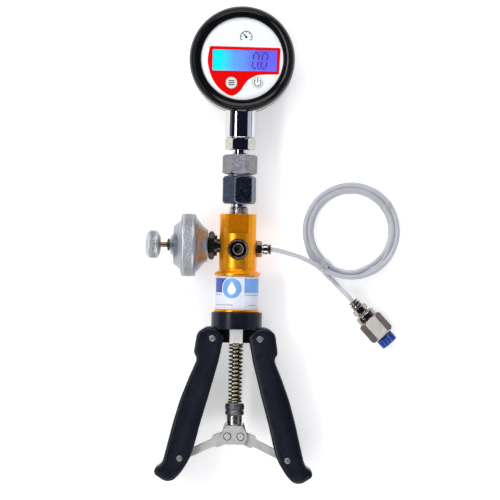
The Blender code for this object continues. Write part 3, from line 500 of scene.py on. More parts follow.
def hex_bar(flats, start, end, cone=0.55, steps=5):
    """Stations of a hexagon bar whose ends are turned to a cone, which leaves its curved facets."""
    corner, least = flats / 2 / math.cos(math.pi / 6), flats / 2 * 0.985
    depth = (corner - least) * cone
    rise = [(depth * i / steps, least + (corner * 1.001 - least) * i / steps) for i in range(steps + 1)]
    opening = [(start + along, hexagon(flats, most)) for along, most in rise]
    closing = [(end - along, hexagon(flats, most)) for along, most in reversed(rise)]
    return [*opening, *closing]


def knurl(start, end, radius, depth, teeth, rows):
    """Stations of a diamond knurl: two sets of crossing grooves round a band."""

    def groove(value):
        return abs(value % 1 - 0.5) * 2

    def ring(share):
        def reach(angle):
            turn, climb = teeth * angle / (2 * math.pi), rows * share
            edge = min(1, share * rows, (1 - share) * rows)
            rise = 1.6 * edge * min(groove(turn + climb), groove(turn - climb))
            return radius - depth + depth * min(1, rise)

        return reach

    steps = rows * 4
    return [(start + (end - start) * i / steps, ring(i / steps)) for i in range(steps + 1)]


def thread(start, end, radius, depth, pitch):
    """Stations of an outer thread."""
    steps = round((end - start) / pitch * 6)

    def ring(place):
        def reach(angle):
            share = (place / pitch - angle / (2 * math.pi)) % 1
            runout = min(1, (place - start) / pitch, (end - place) / pitch)
            return radius - depth + depth * runout * min(1, abs(share - 0.5) * 3)

        return reach

    places = [start + (end - start) * i / steps for i in range(steps + 1)]
    return [(place, ring(place)) for place in places]


def slab(outline, low, high):
    """An outline in X and Y, extruded along Z."""
    shape = bmesh.new()
    bottom = [shape.verts.new((x, y, low)) for x, y in outline]
    top = [shape.verts.new((x, y, high)) for x, y in outline]
    shape.faces.new(reversed(bottom))
    shape.faces.new(top)
    bridge(shape, bottom, top)
    return shape


def rectangle(left, right, bottom, top):
    return [(left, bottom), (right, bottom), (right, top), (left, top)]


def footprint(node, margin=0.0):
    """A node's rectangle in X and Y, with a margin round it."""
    low, high = box(node)
    return rectangle(low.x - margin, high.x + margin, low.y - margin, high.y + margin)


def block(left, right, bottom, top, low, high):
    return slab(rectangle(left, right, bottom, top), low, high)


def arc(centre, radius, start, end, steps):
    """Points on a circle from one angle in degrees to another."""
    angles = [math.radians(start + (end - start) * i / steps) for i in range(steps + 1)]
    return [(centre[0] + radius * math.cos(a), centre[1] + radius * math.sin(a)) for a in angles]


def curve_through(points, spacing):
    """Points about a spacing apart on a smooth curve through the given ones."""
    ends = [2 * points[0] - points[1], *points, 2 * points[-1] - points[-2]]
    line = []
    for a, b, c, d in zip(ends, ends[1:], ends[2:], ends[3:]):
        steps = max(1, round((c - b).length / spacing))
        for i in range(steps):
            t = i / steps
            line.append(
                b
                + (c - a) * (t / 2)
                + (2 * a - 5 * b + 4 * c - d) * (t * t / 2)
                + (3 * b - a - 3 * c + d) * (t**3 / 2)
            )
    return [*line, points[-1]]


def stroke(line, width, low, high):
    """A printed line of a constant width through 2D points."""
    points = [Vector(point) for point in line]
    left, right = [], []
    for i, point in enumerate(points):
        ahead = (points[min(i + 1, len(points) - 1)] - points[max(i - 1, 0)]).normalized()
        side = Vector((-ahead.y, ahead.x)) * width / 2
        left.append(tuple(point + side))
        right.append(tuple(point - side))
    return slab([*left, *reversed(right)], low, high)


def second_look(made, look, chosen):
    """Gives the faces that a test picks another material."""
    made.data.materials.append(looks[look].material)
    last = len(made.data.materials) - 1
    for face in made.data.polygons:
        if chosen(face):
            face.material_index = last


def paint(nodes, look):
    """Gives kept CAD nodes a better material."""
    for node in nodes:
        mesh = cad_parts[node].data
        mesh.materials.clear()
        mesh.materials.append(looks[look].material)


# ---------------------------------------------------------------- camera and lights


def make_camera():
    """Straight above the pump, a little turned, so far off that the pump is seen without perspective."""
    height, field, turn = 1900.0, 420.0, math.radians(1.2535)
    camera = bpy.data.cameras.new("camera")
    camera.sensor_width = 36
    camera.lens = camera.sensor_width * height / field
    made = in_scene("camera", camera)
    made.location = Vector((10.0, -159.1, AXIS_HEIGHT + height)) * MM
    made.rotation_euler = (0, 0, turn)
    bpy.context.scene.camera = made


def soft_box(name, place, size, power, colour=(1, 1, 1)):
    """A rectangular light that faces the pump's middle. Its first size is level, and its second rises."""
    light = bpy.data.lights.new(name, "AREA")
    light.shape = "RECTANGLE"
    light.size, light.size_y = size
    light.energy, light.color = power, colour
    made = in_scene(name, light)
    made.location = place
    aim = Vector((0.01, -0.16, 0.02)) - Vector(place)
    made.rotation_euler = aim.to_track_quat("-Z", "Y").to_euler()


def make_studio():
    """A pale floor, narrow lights at the left and right, and large ones above and below the picture."""
    glow = {"Emission_Color": (1, 1, 1, 1), "Emission_Strength": 0.4}
    floor = Look("floor_paper", "", (0.9, 0.9, 0.9), 0.9, **glow)
    floor.vary(400, 0.01, 0.05).grained(30, 0.01)
    shape = bmesh.new()
    bmesh.ops.create_grid(shape, x_segments=8, y_segments=8, size=4.0)
    mesh = bpy.data.meshes.new("floor")
    shape.to_mesh(mesh)
    shape.free()
    mesh.materials.append(floor.material)
    in_scene("floor", mesh)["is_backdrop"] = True

    soft_box("strip_left", (-0.95, -0.16, 1.26), (1.7, 0.24), 13)
    soft_box("box_right", (1.45, -0.16, 0.62), (1.7, 0.85), 3.6, (0.82, 0.84, 1.0))
    soft_box("box_upper", (-0.15, 1.25, 1.05), (1.9, 0.8), 22)
    soft_box("box_lower", (0.15, -1.6, 1.05), (1.9, 0.8), 19)

    world = bpy.data.worlds.new("studio")
    bpy.context.scene.world = world
    world.use_nodes = True
    tree = world.node_tree
    direction = tree.nodes.new("ShaderNodeTexCoord").outputs["Generated"]
    split = tree.nodes.new("ShaderNodeSeparateXYZ")
    ramp = tree.nodes.new("ShaderNodeValToRGB")
    tree.links.new(direction, split.inputs["Vector"])
    tree.links.new(split.outputs["Z"], ramp.inputs["Fac"])
    tree.links.new(ramp.outputs["Color"], tree.nodes["Background"].inputs["Color"])
    low, high = ramp.color_ramp.elements
    low.position, low.color = 0.0, (0.34, 0.35, 0.37, 1)
    high.position, high.color = 0.4, (0.012, 0.012, 0.030, 1)
    tree.nodes["Background"].inputs["Strength"].default_value = 0.9
    bpy.context.scene.view_settings.view_transform = "Standard"


# ---------------------------------------------------------------- gauge


def make_gauge():
    """The gauge's case, boot, face, display and buttons."""
    case_radius, case_front = half_width("gauge_case"), box("gauge_case")[1].z
    face_top = box("gauge_faceplate")[1].z
    make_gauge_case(case_radius, case_front)
    make_gauge_boot(case_radius, face_top)
    make_gauge_face(case_radius, case_front, face_top)


def make_gauge_case(radius, front):
    """The case, open in front, with its stem's hole and the ribbed cover in its back."""
    wall, edge = radius - 2.8, 0.8
    inner = [(3, 0), (3, wall), (front, wall)]
    back = [(0, 24), (0, 33), (0.7, 33.6), (0.7, 35), (0, 35.6), (0, radius - 3), (3, radius)]
    outline = [(0, 0), *back, *filleted([(4, radius), (front, radius), inner[2]], 0.6)]
    case = piece("gauge_shell", lathe([*outline, *reversed(inner)], count=FINE), "case", node="gauge_case")
    hatch = slab(ring_round(footprint("battery_cover", GAP), edge), -1, 4)
    cut(case, hatch, moved(rod(6.9, 30, 50, SMALL), down_pump()))
    low, high = box("battery_cover")
    plate = slab(ring_round(footprint("battery_cover"), edge), low.z + 0.2, high.z)
    bottom, top = low.y + 4, high.y - 4
    ribs = [block(x, x + 1, bottom, top, low.z, low.z + 0.8) for x in (-21, -18.5, -16, -13.5, -11)]
    piece("battery_hatch", joined(plate, *ribs), "case", node="battery_cover", bevel=0.25)


def make_gauge_boot(case_radius, face_top):
    """The rubber boot, with a groove near its back and a rounded lip over the face's rim."""
    radius, face_radius = half_width("gauge_boot"), 34.4
    low, high = box("gauge_boot")
    profile = [
        (low.z, case_radius + GAP), (low.z, radius - 0.8), (low.z + 1.2, radius), (14, radius),
        (14.8, radius - 0.5), (16.2, radius - 0.5), (17, radius), (high.z - 5.2, radius),
        (high.z - 1.5, radius - 1.6), (high.z - 0.2, radius - 3.2), (high.z, radius - 4.0),
        (high.z - 0.7, radius - 5.0), (high.z - 1.5, face_radius + 2.4), (high.z - 1.7, face_radius + 0.2),
        (face_top + GAP, face_radius - 0.4), (face_top + GAP, case_radius + GAP),
    ]
    shape = lathe(ring_round(profile, 0.9, 3), True, FINE)
    boot = piece("gauge_cover", shape, "boot", node="gauge_boot", smooth=45)
    cut(boot, moved(rod(half_width("gauge_stem") + 0.55, 30, 50, SMOOTH), down_pump()))


def make_gauge_face(case_radius, case_front, face_top):
    """The face with its red panel, both cut out for the display and the buttons."""
    opening = ring_round(rectangle(-24.6, 28.9, -10.1, 7.4), 0.5)
    edge = case_radius - 0.8
    disc = filleted([(case_front + GAP, edge), (face_top, edge)], 0.1)
    face = piece("face_membrane", solid(disc, FINE), "face", node="gauge_faceplate")
    panel = piece("red_panel", slab(red_outline(), face_top + 0.01, face_top + 0.07), "red")
    buttons = [("menu_button", 5.1), ("power_button", 4.5)]
    holes = [moved(rod(reach, 40, 45, SMALL), on_floor(name)) for name, reach in buttons]
    panel_hole = moved(rod(5.1, 40, 45, SMALL), on_floor("menu_button"))
    cut(face, slab(opening, 40, 45), *holes)
    cut(panel, slab(opening, 40, 45), panel_hole)
    make_display(opening)
    make_buttons(buttons, face_top)
    make_dial_sign(face_top)


def red_outline():
    """The red panel round the display, with a lobe for the menu button."""
    lobe = [
        (20.5, -12.7), (13.0, -13.6), (6.2, -17.0), (2.2, -21.8), (-1.0, -26.8), (-6.2, -30.6),
        (-11.6, -30.0), (-19.6, -24.0), (-25.2, -15.6), (-28.2, -6.0), (-28.6, 0.0), (-27.6, 7.0),
    ]
    curve = [tuple(point) for point in curve_through([Vector(point) for point in lobe], 1.0)]
    corners = filleted([curve[-1], (-27.0, 10.1), (0, 9.9), (31.9, 9.6), (30.9, -12.6), curve[0]], 1.6)
    return [*curve, *corners[1:-1]]


def make_display(opening):
    """The display behind its window, with its two digits."""
    low, high = box("lcd_module")
    shape = slab(ring_round(footprint("lcd_module"), 0.4), low.z, high.z)
    piece("display", shape, "display", node="lcd_module")
    least, most = box("lcd_window")
    inner = [(min(max(x, least.x), most.x), min(max(y, least.y), most.y)) for x, y in opening]
    piece("display_window", slab(inner, least.z, most.z), "window", node="lcd_window")

    width, height, slant, bar, foot = 4.3, 12.6, 0.12, 1.3, -7.6
    upright = [((x, y), (x, y - 0.5)) for x in (0, 1) for y in (1, 0.5)]
    level = high.z + 0.02, high.z + 0.07
    marks = [moved(rod(0.8, *level, SMALL), at_place((14.0, foot, 0)))]
    for left in (8.3, 15.7):
        for ends in [((0, 1), (1, 1)), ((0, 0), (1, 0)), *upright]:
            start, end = (Vector((x * width, y * height)) for x, y in ends)
            ahead = (end - start).normalized() * 0.75
            line = [(left + p.x + slant * p.y, foot + p.y) for p in (start + ahead, end - ahead)]
            marks.append(stroke(line, bar, *level))
    piece("display_digits", joined(*marks), "segments")


def make_buttons(buttons, face_top):
    """The two membrane buttons with their plain signs, which ride with them."""
    for name, hole in buttons:
        where = on_floor(name)
        low, high = box(name)
        reach, neck = hole - GAP, face_top - 2.6
        cap = filleted([(neck, reach), (high.z, reach), (high.z, 0)], 0.5)
        shape = lathe([(low.z, 0), (low.z, 1.5), (neck, 1.5), *cap], count=SMOOTH)
        piece(f"{name}_cap", shape, "button" if name == "menu_button" else "face", name, name, where)
        level = (high.z, high.z + 0.04)
        if name == "menu_button":
            marks = [block(-2.5, 2.5, y - 0.42, y + 0.42, *level) for y in (-1.7, 0, 1.7)]
        else:
            ring = stroke(arc((0, 0), 2.8, 125, 415, 30), 0.75, *level)
            marks = [ring, block(-0.4, 0.4, 0.2, 3.7, *level)]
        piece(f"{name}_sign", joined(*marks), "ink", name, where=where)
    level = (face_top, face_top + 0.04)
    halo = [stroke(arc((0, 0), 5.1, start, start + 24, 4), 0.25, *level) for start in range(0, 360, 36)]
    piece("power_halo", joined(*halo), "pale_ink", where=on_floor("power_button"))


def make_dial_sign(face_top):
    """A small plain sign of a dial, above the display."""
    level = (face_top, face_top + 0.05)
    scale = stroke(arc((0, 0), 4.9, -30, 210, 36), 0.6, *level)
    ticks = [
        moved(block(-0.25, 0.25, 3.4, 4.9, *level), Matrix.Rotation(math.radians(angle), 4, "Z"))
        for angle in range(-120, 121, 40)
    ]
    needle = moved(block(-0.45, 0.45, -0.6, 3.6, *level), Matrix.Rotation(math.radians(38), 4, "Z"))
    hub = rod(1.0, *level, count=SMALL)
    piece("dial_sign", joined(scale, *ticks, needle, hub), "ink", where=at_place((3.0, 18.0, 0)))


# ---------------------------------------------------------------- stem, union and head


def make_stem():
    """The gauge's chromed stem with its hexagon, whose side faces get a warmer, duller copy of the chrome
    as a painted reflection.
    """
    start, end = down("gauge_stem")
    radius = half_width("gauge_stem")
    hex_start, hex_end = 65.3, 75.6
    undercut = [(hex_start - 0.5, radius), (hex_start - 0.1, radius - 1.4)]
    body = filleted([(start, 6.5), (41.5, 6.5), (41.5, radius), *undercut], 0.5)
    neck = filleted([(hex_end + 0.05, 6.4), (78.2, 6.4), (78.6, 6.0), (end - 0.6, 6.0), (end, 5.6)], 0.2)
    outer = [*body, *hex_bar(22.4, hex_start, hex_end), *neck]
    bore = [(start, 1.8), (end, 1.8)]
    stem = piece("stem", sleeve(outer, bore), "chrome", node="gauge_stem", where=down_pump())

    def side_of_hexagon(face):
        return hex_start < -face.center.y / MM < hex_end and abs(face.normal.x) > 0.75

    # The hexagon's side faces get the painted reflection.
    second_look(stem, "chrome_side_reflection", side_of_hexagon)


def make_union():
    """The union's upper hexagon piece, and the nut below it with its slight turn."""
    start, end = down("union_adapter")
    flats, hex_end = 25.4, 95.8
    outer = [*hex_bar(flats, start, hex_end), (hex_end + 0.02, 10.1), (98.6, 10.1), (98.6, 8.4), (end, 8.4)]
    bore = [(start, 7.6), (start + 0.8, 6.7), (92.3, 6.7), (92.3, 3), (end, 3)]
    shape = sleeve(outer, bore)
    upper = piece("union_upper", shape, "grey_steel", node="union_adapter", where=down_pump(), bevel=0.22)
    # The top faces get the lighter copy: scratches, with painted light.
    second_look(upper, "scratched_lit_top_steel", lambda face: abs(face.normal.z) > 0.9)

    start, end = down("union_nut")
    bore = [(start, 10.5), (99, 10.5), (99, 8.8), (108.4, 8.8), (108.4, 7.2), (end - 0.6, 7.2), (end, 7.9)]
    shape = sleeve(hex_bar(flats, start, end, cone=0.9), bore)
    where = down_pump(math.radians(-16))
    piece("union_lower", shape, "dark_steel", node="union_nut", where=where, bevel=0.3)


def make_nipple():
    """The threaded nipple between the union and the head."""
    start, end = down("inlet_nipple")
    crest = half_width("inlet_nipple")
    top = filleted([(start, 6.4), (start + 0.4, 6.85), (123.0, 6.85), (123.7, 7.3)], 0.2)
    outer = [*top, *thread(123.8, end - 1.2, crest, 0.75, 1.35), (end, 7.2)]
    piece("nipple", sleeve(outer, [(start, 3), (end, 3)]), "steel", node="inlet_nipple", where=down_pump())


def make_head():
    """The gold head with its flats and seats, its selector, and the two check balls inside."""
    start, end = down("pump_head")
    flange = half_width("pump_head")
    radius, spigot = 15.8, 13.7
    profile = [
        (start, 0), (start, radius), (174.6, radius), (174.9, radius - 0.35), (175.6, radius - 0.35),
        (175.9, radius), (176.6, radius), (178.4, flange - 0.2), (179.0, flange), (181.0, flange),
        (181.0, spigot), (end, spigot), (end, 0),
    ]
    shape = lathe(filleted(profile, 0.45), count=FINE)
    head = piece("head_block", shape, "gold", node="pump_head", where=down_pump())
    across, flat_end, flat_height = 8.15, 145.5, 13.54
    selector = at_place((0, middle("selector_ring").y, AXIS_HEIGHT))
    adjuster = at_place((0, middle("adjuster_barrel").y, AXIS_HEIGHT), OUT_LEFT)
    fitting = at_place((0, middle("hose_fitting").y, AXIS_HEIGHT), OUT_RIGHT)
    axis = on_axis()
    cut(
        head,
        moved(block(-across, across, -flat_end, -120, flat_height, 20), axis),
        moved(block(14.8, 20, -150.4, -120, -5.6, 5.6), axis),
        moved(solid([(-20, 8.9), (9.2, 8.9), (10, 8.3)]), at_place((0, -start, AXIS_HEIGHT), DOWN_PUMP)),
        moved(rod(8.8, 10.7, 30), selector),
        moved(rod(4.4, -30, 20, SMALL), selector),
        moved(rod(6.5, 11.1, 30), adjuster),
        moved(rod(7.3, 14.4, 30), fitting),
    )
    plane = (AXIS_HEIGHT + flat_height) * MM
    # The top flat gets the darker copy of the gold: painted shade.
    second_look(head, "top_flat_shaded_gold", lambda face: abs(face.center.z - plane) < 0.02 * MM)

    ring = [(11, 4.6), (11, 8.4), (15.2, 8.4), (16.4, 7.7), (16.3, 7.0), (12.6, 5.0), (11, 4.6)]
    shape = lathe(filleted(ring, 0.25)[:-1], True)
    piece("selector_bezel", shape, "selector_metal", node="selector_ring", where=selector)
    spool_low, spool_high = (corner.z - AXIS_HEIGHT for corner in box("selector_spool"))
    stem = filleted([(spool_low, 0), (spool_low, 4.1), (spool_high, 4.1), (spool_high - 0.2, 2.6)], 0.5)
    well = filleted([(spool_high - 0.4, 2.2), (spool_high - 2.2, 1.7), (spool_high - 2.4, 0)], 0.3)
    shape = lathe([*stem, *well], count=SMALL)
    piece("selector_stem", shape, "oxide_and_shade", "selector_spool", "selector_spool", selector)
    paint(["inlet_check_ball", "outlet_check_ball"], "steel")


# ---------------------------------------------------------------- cylinder, label, collar and yoke


def on_label(outline, lift):
    """A flat outline wrapped on the label: X is the arc from the front, and Y the place down the pump."""
    radius = half_width("label_sleeve") + lift
    shape = bmesh.new()
    low = min(x for x, _ in outline)
    high = max(x for x, _ in outline)
    shape.faces.new([shape.verts.new((x, y, 0)) for x, y in outline])
    cuts = math.ceil((high - low) / 1.2)
    for i in range(1, cuts):
        x = low + (high - low) * i / cuts
        geometry = [*shape.verts, *shape.edges, *shape.faces]
        bmesh.ops.bisect_plane(shape, geom=geometry, plane_co=(x, 0, 0), plane_no=(1, 0, 0))
    rise = bmesh.ops.extrude_face_region(shape, geom=list(shape.faces))["geom"]
    raised = {vertex for vertex in rise if isinstance(vertex, bmesh.types.BMVert)}
    for vertex in shape.verts:
        reach = radius + (0.03 if vertex in raised else 0)
        angle = vertex.co.x / radius
        vertex.co = (reach * math.sin(angle), -vertex.co.y, AXIS_HEIGHT + reach * math.cos(angle))
    return shape


def make_cylinder():
    """The cylinder's lip, the label with its plain pattern, and the black collar."""
    start, end = down("cylinder")
    radius, lip = 17.2, half_width("cylinder")
    edge = [(start, radius), (209.4, radius), (209.4, lip), (211.2, lip), (211.2, radius), (end, radius)]
    outer = filleted([(start, 14.0), *edge, (end, 12.5)], 0.5)
    shape = sleeve(outer, [(186.3, 14.0), (186.3, 12.5)])
    piece("cylinder_tube", shape, "gold", node="cylinder", where=down_pump())

    start, end = down("label_sleeve")
    reach = half_width("label_sleeve")
    outer = filleted([(start, reach - 0.4), (start, reach), (end, reach), (end, reach - 0.4)], 0.1)
    shape = sleeve(outer, [(start, reach - 0.5), (end, reach - 0.5)], FINE)
    piece("label", shape, "label", node="label_sleeve", where=down_pump())
    make_label_print(start, end)

    start, end = down("collar")
    reach = half_width("collar")
    corners = [(start, 17.5), (start, reach), (end, reach), (end, 6.2), (222.6, 6.2), (222.6, 17.5)]
    shape = lathe(ring_round(corners, 0.6), True, FINE)
    piece("black_collar", shape, "black", node="collar", where=down_pump())


def make_label_print(start, end):
    """Plain bands, a round sign, a seam and rows of short bars, with no lettering, front and back."""
    quarter = math.pi / 2 * half_width("label_sleeve")
    for turn in (0, 2):
        shift = turn * quarter
        for name, left, right in (("dark", -26.0, -8.0), ("light", 6.2, 24.6)):
            outline = rectangle(left + shift, right + shift, start + 1.6, start + 13.6)
            piece(f"label_band_{name}_{turn}", on_label(outline, 0.02), f"label_{name}")
        bars = []
        for below, left, right in ((15.0, -24, -14), (15.0, 7, 22), (23.4, -24, -4), (23.4, 10, 19)):
            x, y = left, start + below
            while x < right:
                width = 1.1 + 0.9 * ((x * 7) % 1)
                bars.append(on_label(rectangle(x + shift, x + width + shift, y, y + 0.8), 0.02))
                x += width + 0.6
        piece(f"label_lines_{turn}", joined(*bars), "label_grey")
        make_label_sign((shift - 4.6, start + 9.9), turn)
        seam = rectangle(shift + 4.7, shift + 5.7, start, end)
        piece(f"label_seam_{turn}", on_label(seam, 0.05), "label_white")


def make_label_sign(centre, turn):
    """A round sign: a blue disc with a pale ring and a drop in it."""
    piece(f"label_disc_{turn}", on_label(arc(centre, 9.2, 0, 354, 59), 0.05), "label_white")
    piece(f"label_disc_inner_{turn}", on_label(arc(centre, 8.5, 0, 354, 59), 0.08), "label_light")
    x, y = centre
    drop = [(x, y - 6.0), *arc((x, y + 1.4), 3.7, -25, 205, 18)]
    piece(f"label_drop_{turn}", on_label(drop, 0.11), "label_white")


def make_yoke():
    """The block under the collar that carries the handles' two pivots."""
    pivots = [middle(f"pivot_pin_{side}") for side in ("left", "right")]
    x, y = pivots[1].x, pivots[1].y
    low = box("pivot_yoke")[0]
    half_block, depth = 5.45, 12
    outline = [
        *arc((x, y), 5.2, -45, 90, 14),
        (14, -225.8), (-14, -225.8),
        *arc((-x, y), 5.2, 90, 225, 14),
        (-12, low.y), (12, low.y),
    ]
    axis = on_axis()
    yoke = piece("yoke", slab(outline, -5, 5), "aluminium", node="pivot_yoke", where=axis)
    cut(yoke, moved(block(-half_block, half_block, low.y, -225.8, -depth, depth), axis), operation="UNION")
    bore = moved(rod(half_width("piston_rod") + GAP, 200, 260, SMALL), down_pump())
    hole = half_width("pivot_pin_left") + GAP
    pins = [moved(rod(hole, -20, 20, SMALL), at_place(pivot)) for pivot in pivots]
    cut(yoke, bore, *pins)
    # The lugs beside the block get the dark oxide material: painted shade where they sit back from the
    # block.
    second_look(yoke, "oxide_and_shade", lambda face: abs(face.center.x) > (half_block + 0.1) * MM)
    soften(yoke, 0.5)
    spigot = filleted([(223.0, 3.3), (223.0, 5.9), (226.2, 5.9)], 0.4)
    shape = sleeve(spigot, [(223.0, 3.3), (226.2, 3.3)], SMALL)
    piece("yoke_spigot", shape, "aluminium", where=down_pump())
    for side in ("left", "right"):
        make_pin(f"pivot_pin_{side}", "root")


def make_pin(node, body):
    """A pin with slightly domed ends."""
    low, high = box(node)
    centre, radius = middle(node), half_width(node)
    half = (high.z - low.z) / 2
    end = filleted([(-half, 0), (-half, radius * 0.75), (-half + 0.5, radius)], 0.2)
    stations = [*end, *[(-place, reach) for place, reach in reversed(end)]]
    piece(f"{node}_turned", lathe(stations, count=SMALL), "pin", body, node, at_place(centre))


# ---------------------------------------------------------------- piston rod and linkage


def spring_shape():
    """The return spring about the pump's axis, with its end turns closed."""
    start, end = down("return_spring")
    outer = half_width("return_spring")
    wire, turns, sides, per_turn = 0.85, 15.5, 12, 36
    radius = outer - wire
    low, high = start + wire, end - wire
    steps = round(turns * per_turn)
    pitch = 2 * wire * 1.15
    open_pitch = (high - low - 2 * pitch) / (turns - 2)

    def place(turned):
        left = turns - turned
        if turned < 1:
            return low + turned * pitch
        if left < 1:
            return high - left * pitch
        return low + pitch + (turned - 1) * open_pitch

    shape = bmesh.new()
    rings = []
    for step in range(steps + 1):
        turned = step / per_turn
        angle = 2 * math.pi * turned
        ring = []
        for side in range(sides):
            around = 2 * math.pi * side / sides
            reach = radius + wire * math.cos(around)
            along = place(turned) + wire * math.sin(around)
            ring.append(shape.verts.new((reach * math.cos(angle), reach * math.sin(angle), along)))
        rings.append(ring)
    for first, second in zip(rings, rings[1:]):
        bridge(shape, first, second)
    shape.faces.new(rings[0])
    shape.faces.new(reversed(rings[-1]))
    return shape


def make_rod():
    """The piston's rod with the spring, its two knurled nuts, and the rod head with its plates."""
    start, end = down("piston_rod")
    radius = half_width("piston_rod")
    plain = filleted([(start, 0), (start, radius), (284.0, radius)], 0.3)
    stations = [*plain, *thread(284.2, end - 0.4, radius, 0.3, 1.0), (end, radius - 0.5), (end, 0)]
    piece("rod_shaft", lathe(stations, count=SMALL), "oxide_and_shade", "rod", "piston_rod", down_pump())

    spring = piece("coil_spring", spring_shape(), "spring", "root", "return_spring", down_pump(), smooth=60)
    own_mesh(spring)

    for node in ("knurled_nut_upper", "knurled_nut_lower"):
        start, end = down(node)
        reach = half_width(node)
        rim = 0.45
        outer = [
            (start, reach - 0.7), (start + rim, reach - 0.35),
            *knurl(start + rim + 0.1, end - rim - 0.1, reach, 0.5, 32, 2),
            (end - rim, reach - 0.35), (end, reach - 0.7),
        ]
        bore = [(start, radius + GAP), (end, radius + GAP)]
        shape = sleeve(outer, bore, 160)
        piece(f"{node}_turned", shape, "knurled_steel", "rod", node, down_pump())
    make_rod_head()


def make_rod_head():
    """The head on the rod's end with its two side plates and rivets."""
    start, _ = down("rod_head")
    plate_top, reach, bore = 306.2, half_width("rod_head"), half_width("piston_rod") + GAP
    floor = down("piston_rod")[1] + GAP
    outline = filleted([(start, bore), (start, reach), (plate_top, reach), (plate_top, 0)], 0.6)
    shape = lathe([(floor, 0), (floor, bore), *outline], count=SMOOTH)
    head = piece("rod_end", shape, "rod_steel", "rod", "rod_head", down_pump())
    inner, outer_face = 3.4, 5.9
    tongue = block(-4.6, 4.6, -309.8, -305.5, -inner + GAP, inner - GAP)
    cut(head, moved(tongue, on_axis()), operation="UNION")

    for node, side in (("head_plate_front", 1), ("head_plate_back", -1)):
        ears = [(7.1, -306.5), (7.1, -304.6), (7.9, -304.6)] if side < 0 else [(6.9, -306.5)]
        right = [*ears, (10.7, -314.2), (11.0, -316.6), (9.4, -321.4), (8.4, -322.4)]
        outline = ring_round([*right, *[(-x, y) for x, y in reversed(right)]], 0.5)
        low, high = sorted((side * inner, side * outer_face))
        plate = piece(f"{node}_sheet", slab(outline, low, high), "stainless", "rod", node, on_axis())
        holes = [middle(f"head_pin_{where}") for where in ("left", "right")]
        cut(plate, *[moved(rod(3.4, -10, 10, SMALL), at_place(place)) for place in holes])
        shade_sheet_edges(plate, 0.6)
    head_half, shank_half, shank = outer_face + 0.2, inner + 0.1, 1.7
    for node in ("head_pin_left", "head_pin_right"):
        dome = filleted([(-head_half, 0), (-head_half, 2.75), (-shank_half, 2.9)], 0.5)
        stations = [*dome, (-shank_half, shank), (shank_half, shank), *[(-p, r) for p, r in reversed(dome)]]
        shape = lathe(stations, count=SMALL)
        piece(f"{node}_rivet", shape, "stainless", "rod", node, at_place(middle(node)))


def shade_sheet_edges(made, width):
    """Rounds a cut sheet's edges and gives them a dark material: painted shade."""
    soften(made, width)
    settle(made)
    second_look(made, "painted_edge_shade", lambda face: abs(face.normal.z) < 0.97)


def handle_outline():
    """The right handle seen from the front: down its outer edge, round its foot and up again."""
    pivot = middle("pivot_pin_right")
    x, y = pivot.x, pivot.y
    outer = [
        (22.2, -224.0), (25.5, -224.4), (32.7, -228.8), (35.2, -245.5), (33.0, -249.3), (32.8, -252.3),
        (39.6, -268.5), (45.9, -285.3), (51.1, -303.7), (56.6, -326.4), (59.2, -336.7), (61.0, -339.8),
    ]
    foot = [*arc((61.6, -345.6), 4.6, 62, -48, 9), *arc((54.6, -344.2), 9.5, -62, -128, 8)]
    inner = [
        (44.2, -347.0), (38.2, -337.5), (35.2, -331.1), (32.7, -322.1), (28.4, -304.6), (22.1, -282.3),
        (14.2, -252.3), (11.3, -237.4), (x - 9.6, y + 0.8), (x - 8.9, y + 3.2),
    ]
    corners = [*outer, *foot, *inner, *arc((x, y), 8.6, 145, 92, 8)]
    return ring_round(corners, 3.0, 3)


def channel_outline():
    """What is cut out of the middle of a handle, open towards the spring."""
    corners = [
        (2, -215), (29.5, -215), (30.2, -246), (28.8, -252), (41.4, -286), (46.6, -304.5),
        (52.0, -327), (52.2, -338), (47, -343), (30, -343), (10, -300),
    ]
    return ring_round(corners, 2.5, 3)


def make_handle(name, side):
    """One handle with its link and the pin between them. The side is -1 on the left."""
    body = f"handle_{name}"
    low, high = box(body)
    half = (high.z - low.z) / 2
    axis = on_axis()
    outline = [(side * x, y) for x, y in handle_outline()]
    handle = piece(f"grip_{name}", slab(outline, -half, half), "black", body, body, axis)
    soften(handle, 3.0, 4)
    handle.modifiers[0].angle_limit = math.radians(60)
    settle(handle)
    channel = [(side * x, y) for x, y in channel_outline()]
    pins = [middle(f"pivot_pin_{name}"), middle(f"link_pin_{name}")]
    holes = [moved(rod(2.9, -20, 20, SMALL), at_place(place)) for place in pins]
    cut(handle, moved(slab(channel, -6.2, 6.2), axis), *holes)
    make_pin(f"link_pin_{name}", body)

    link_pin, head_pin = pins[1], middle(f"head_pin_{name}")
    reach = head_pin - link_pin
    far = reach.xy.length
    corners = [(4.0, 3.15), (far - 13.2, 3.15), (far - 11.4, 5.4), (far - 6.6, 5.4)]
    outline = [
        *arc((0, 0), 4.5, 50, 310, 24),
        *filleted([(x, -y) for x, y in corners], 1.2),
        *arc((far, 0), 4.3, -95, 95, 20),
        *filleted(list(reversed(corners)), 1.2),
    ]
    thickness = half_width(f"link_{name}", 2)
    turn = math.atan2(reach.y, reach.x)
    where = at_place(link_pin) @ Matrix.Rotation(turn, 4, "Z")
    link = f"link_{name}"
    bar = piece(f"link_bar_{name}", slab(outline, -thickness, thickness), "stainless", link, link, where)
    ends = (2.9, link_pin), (3.1, head_pin)
    cut(bar, *[moved(rod(hole, -9, 9, SMALL), at_place(pin)) for hole, pin in ends])
    shade_sheet_edges(bar, 0.6)


# ---------------------------------------------------------------- volume adjuster and vent


def out(node):
    """Where a node starts and ends to the left of the pump's axis."""
    low, high = box(node)
    return -high.x, -low.x


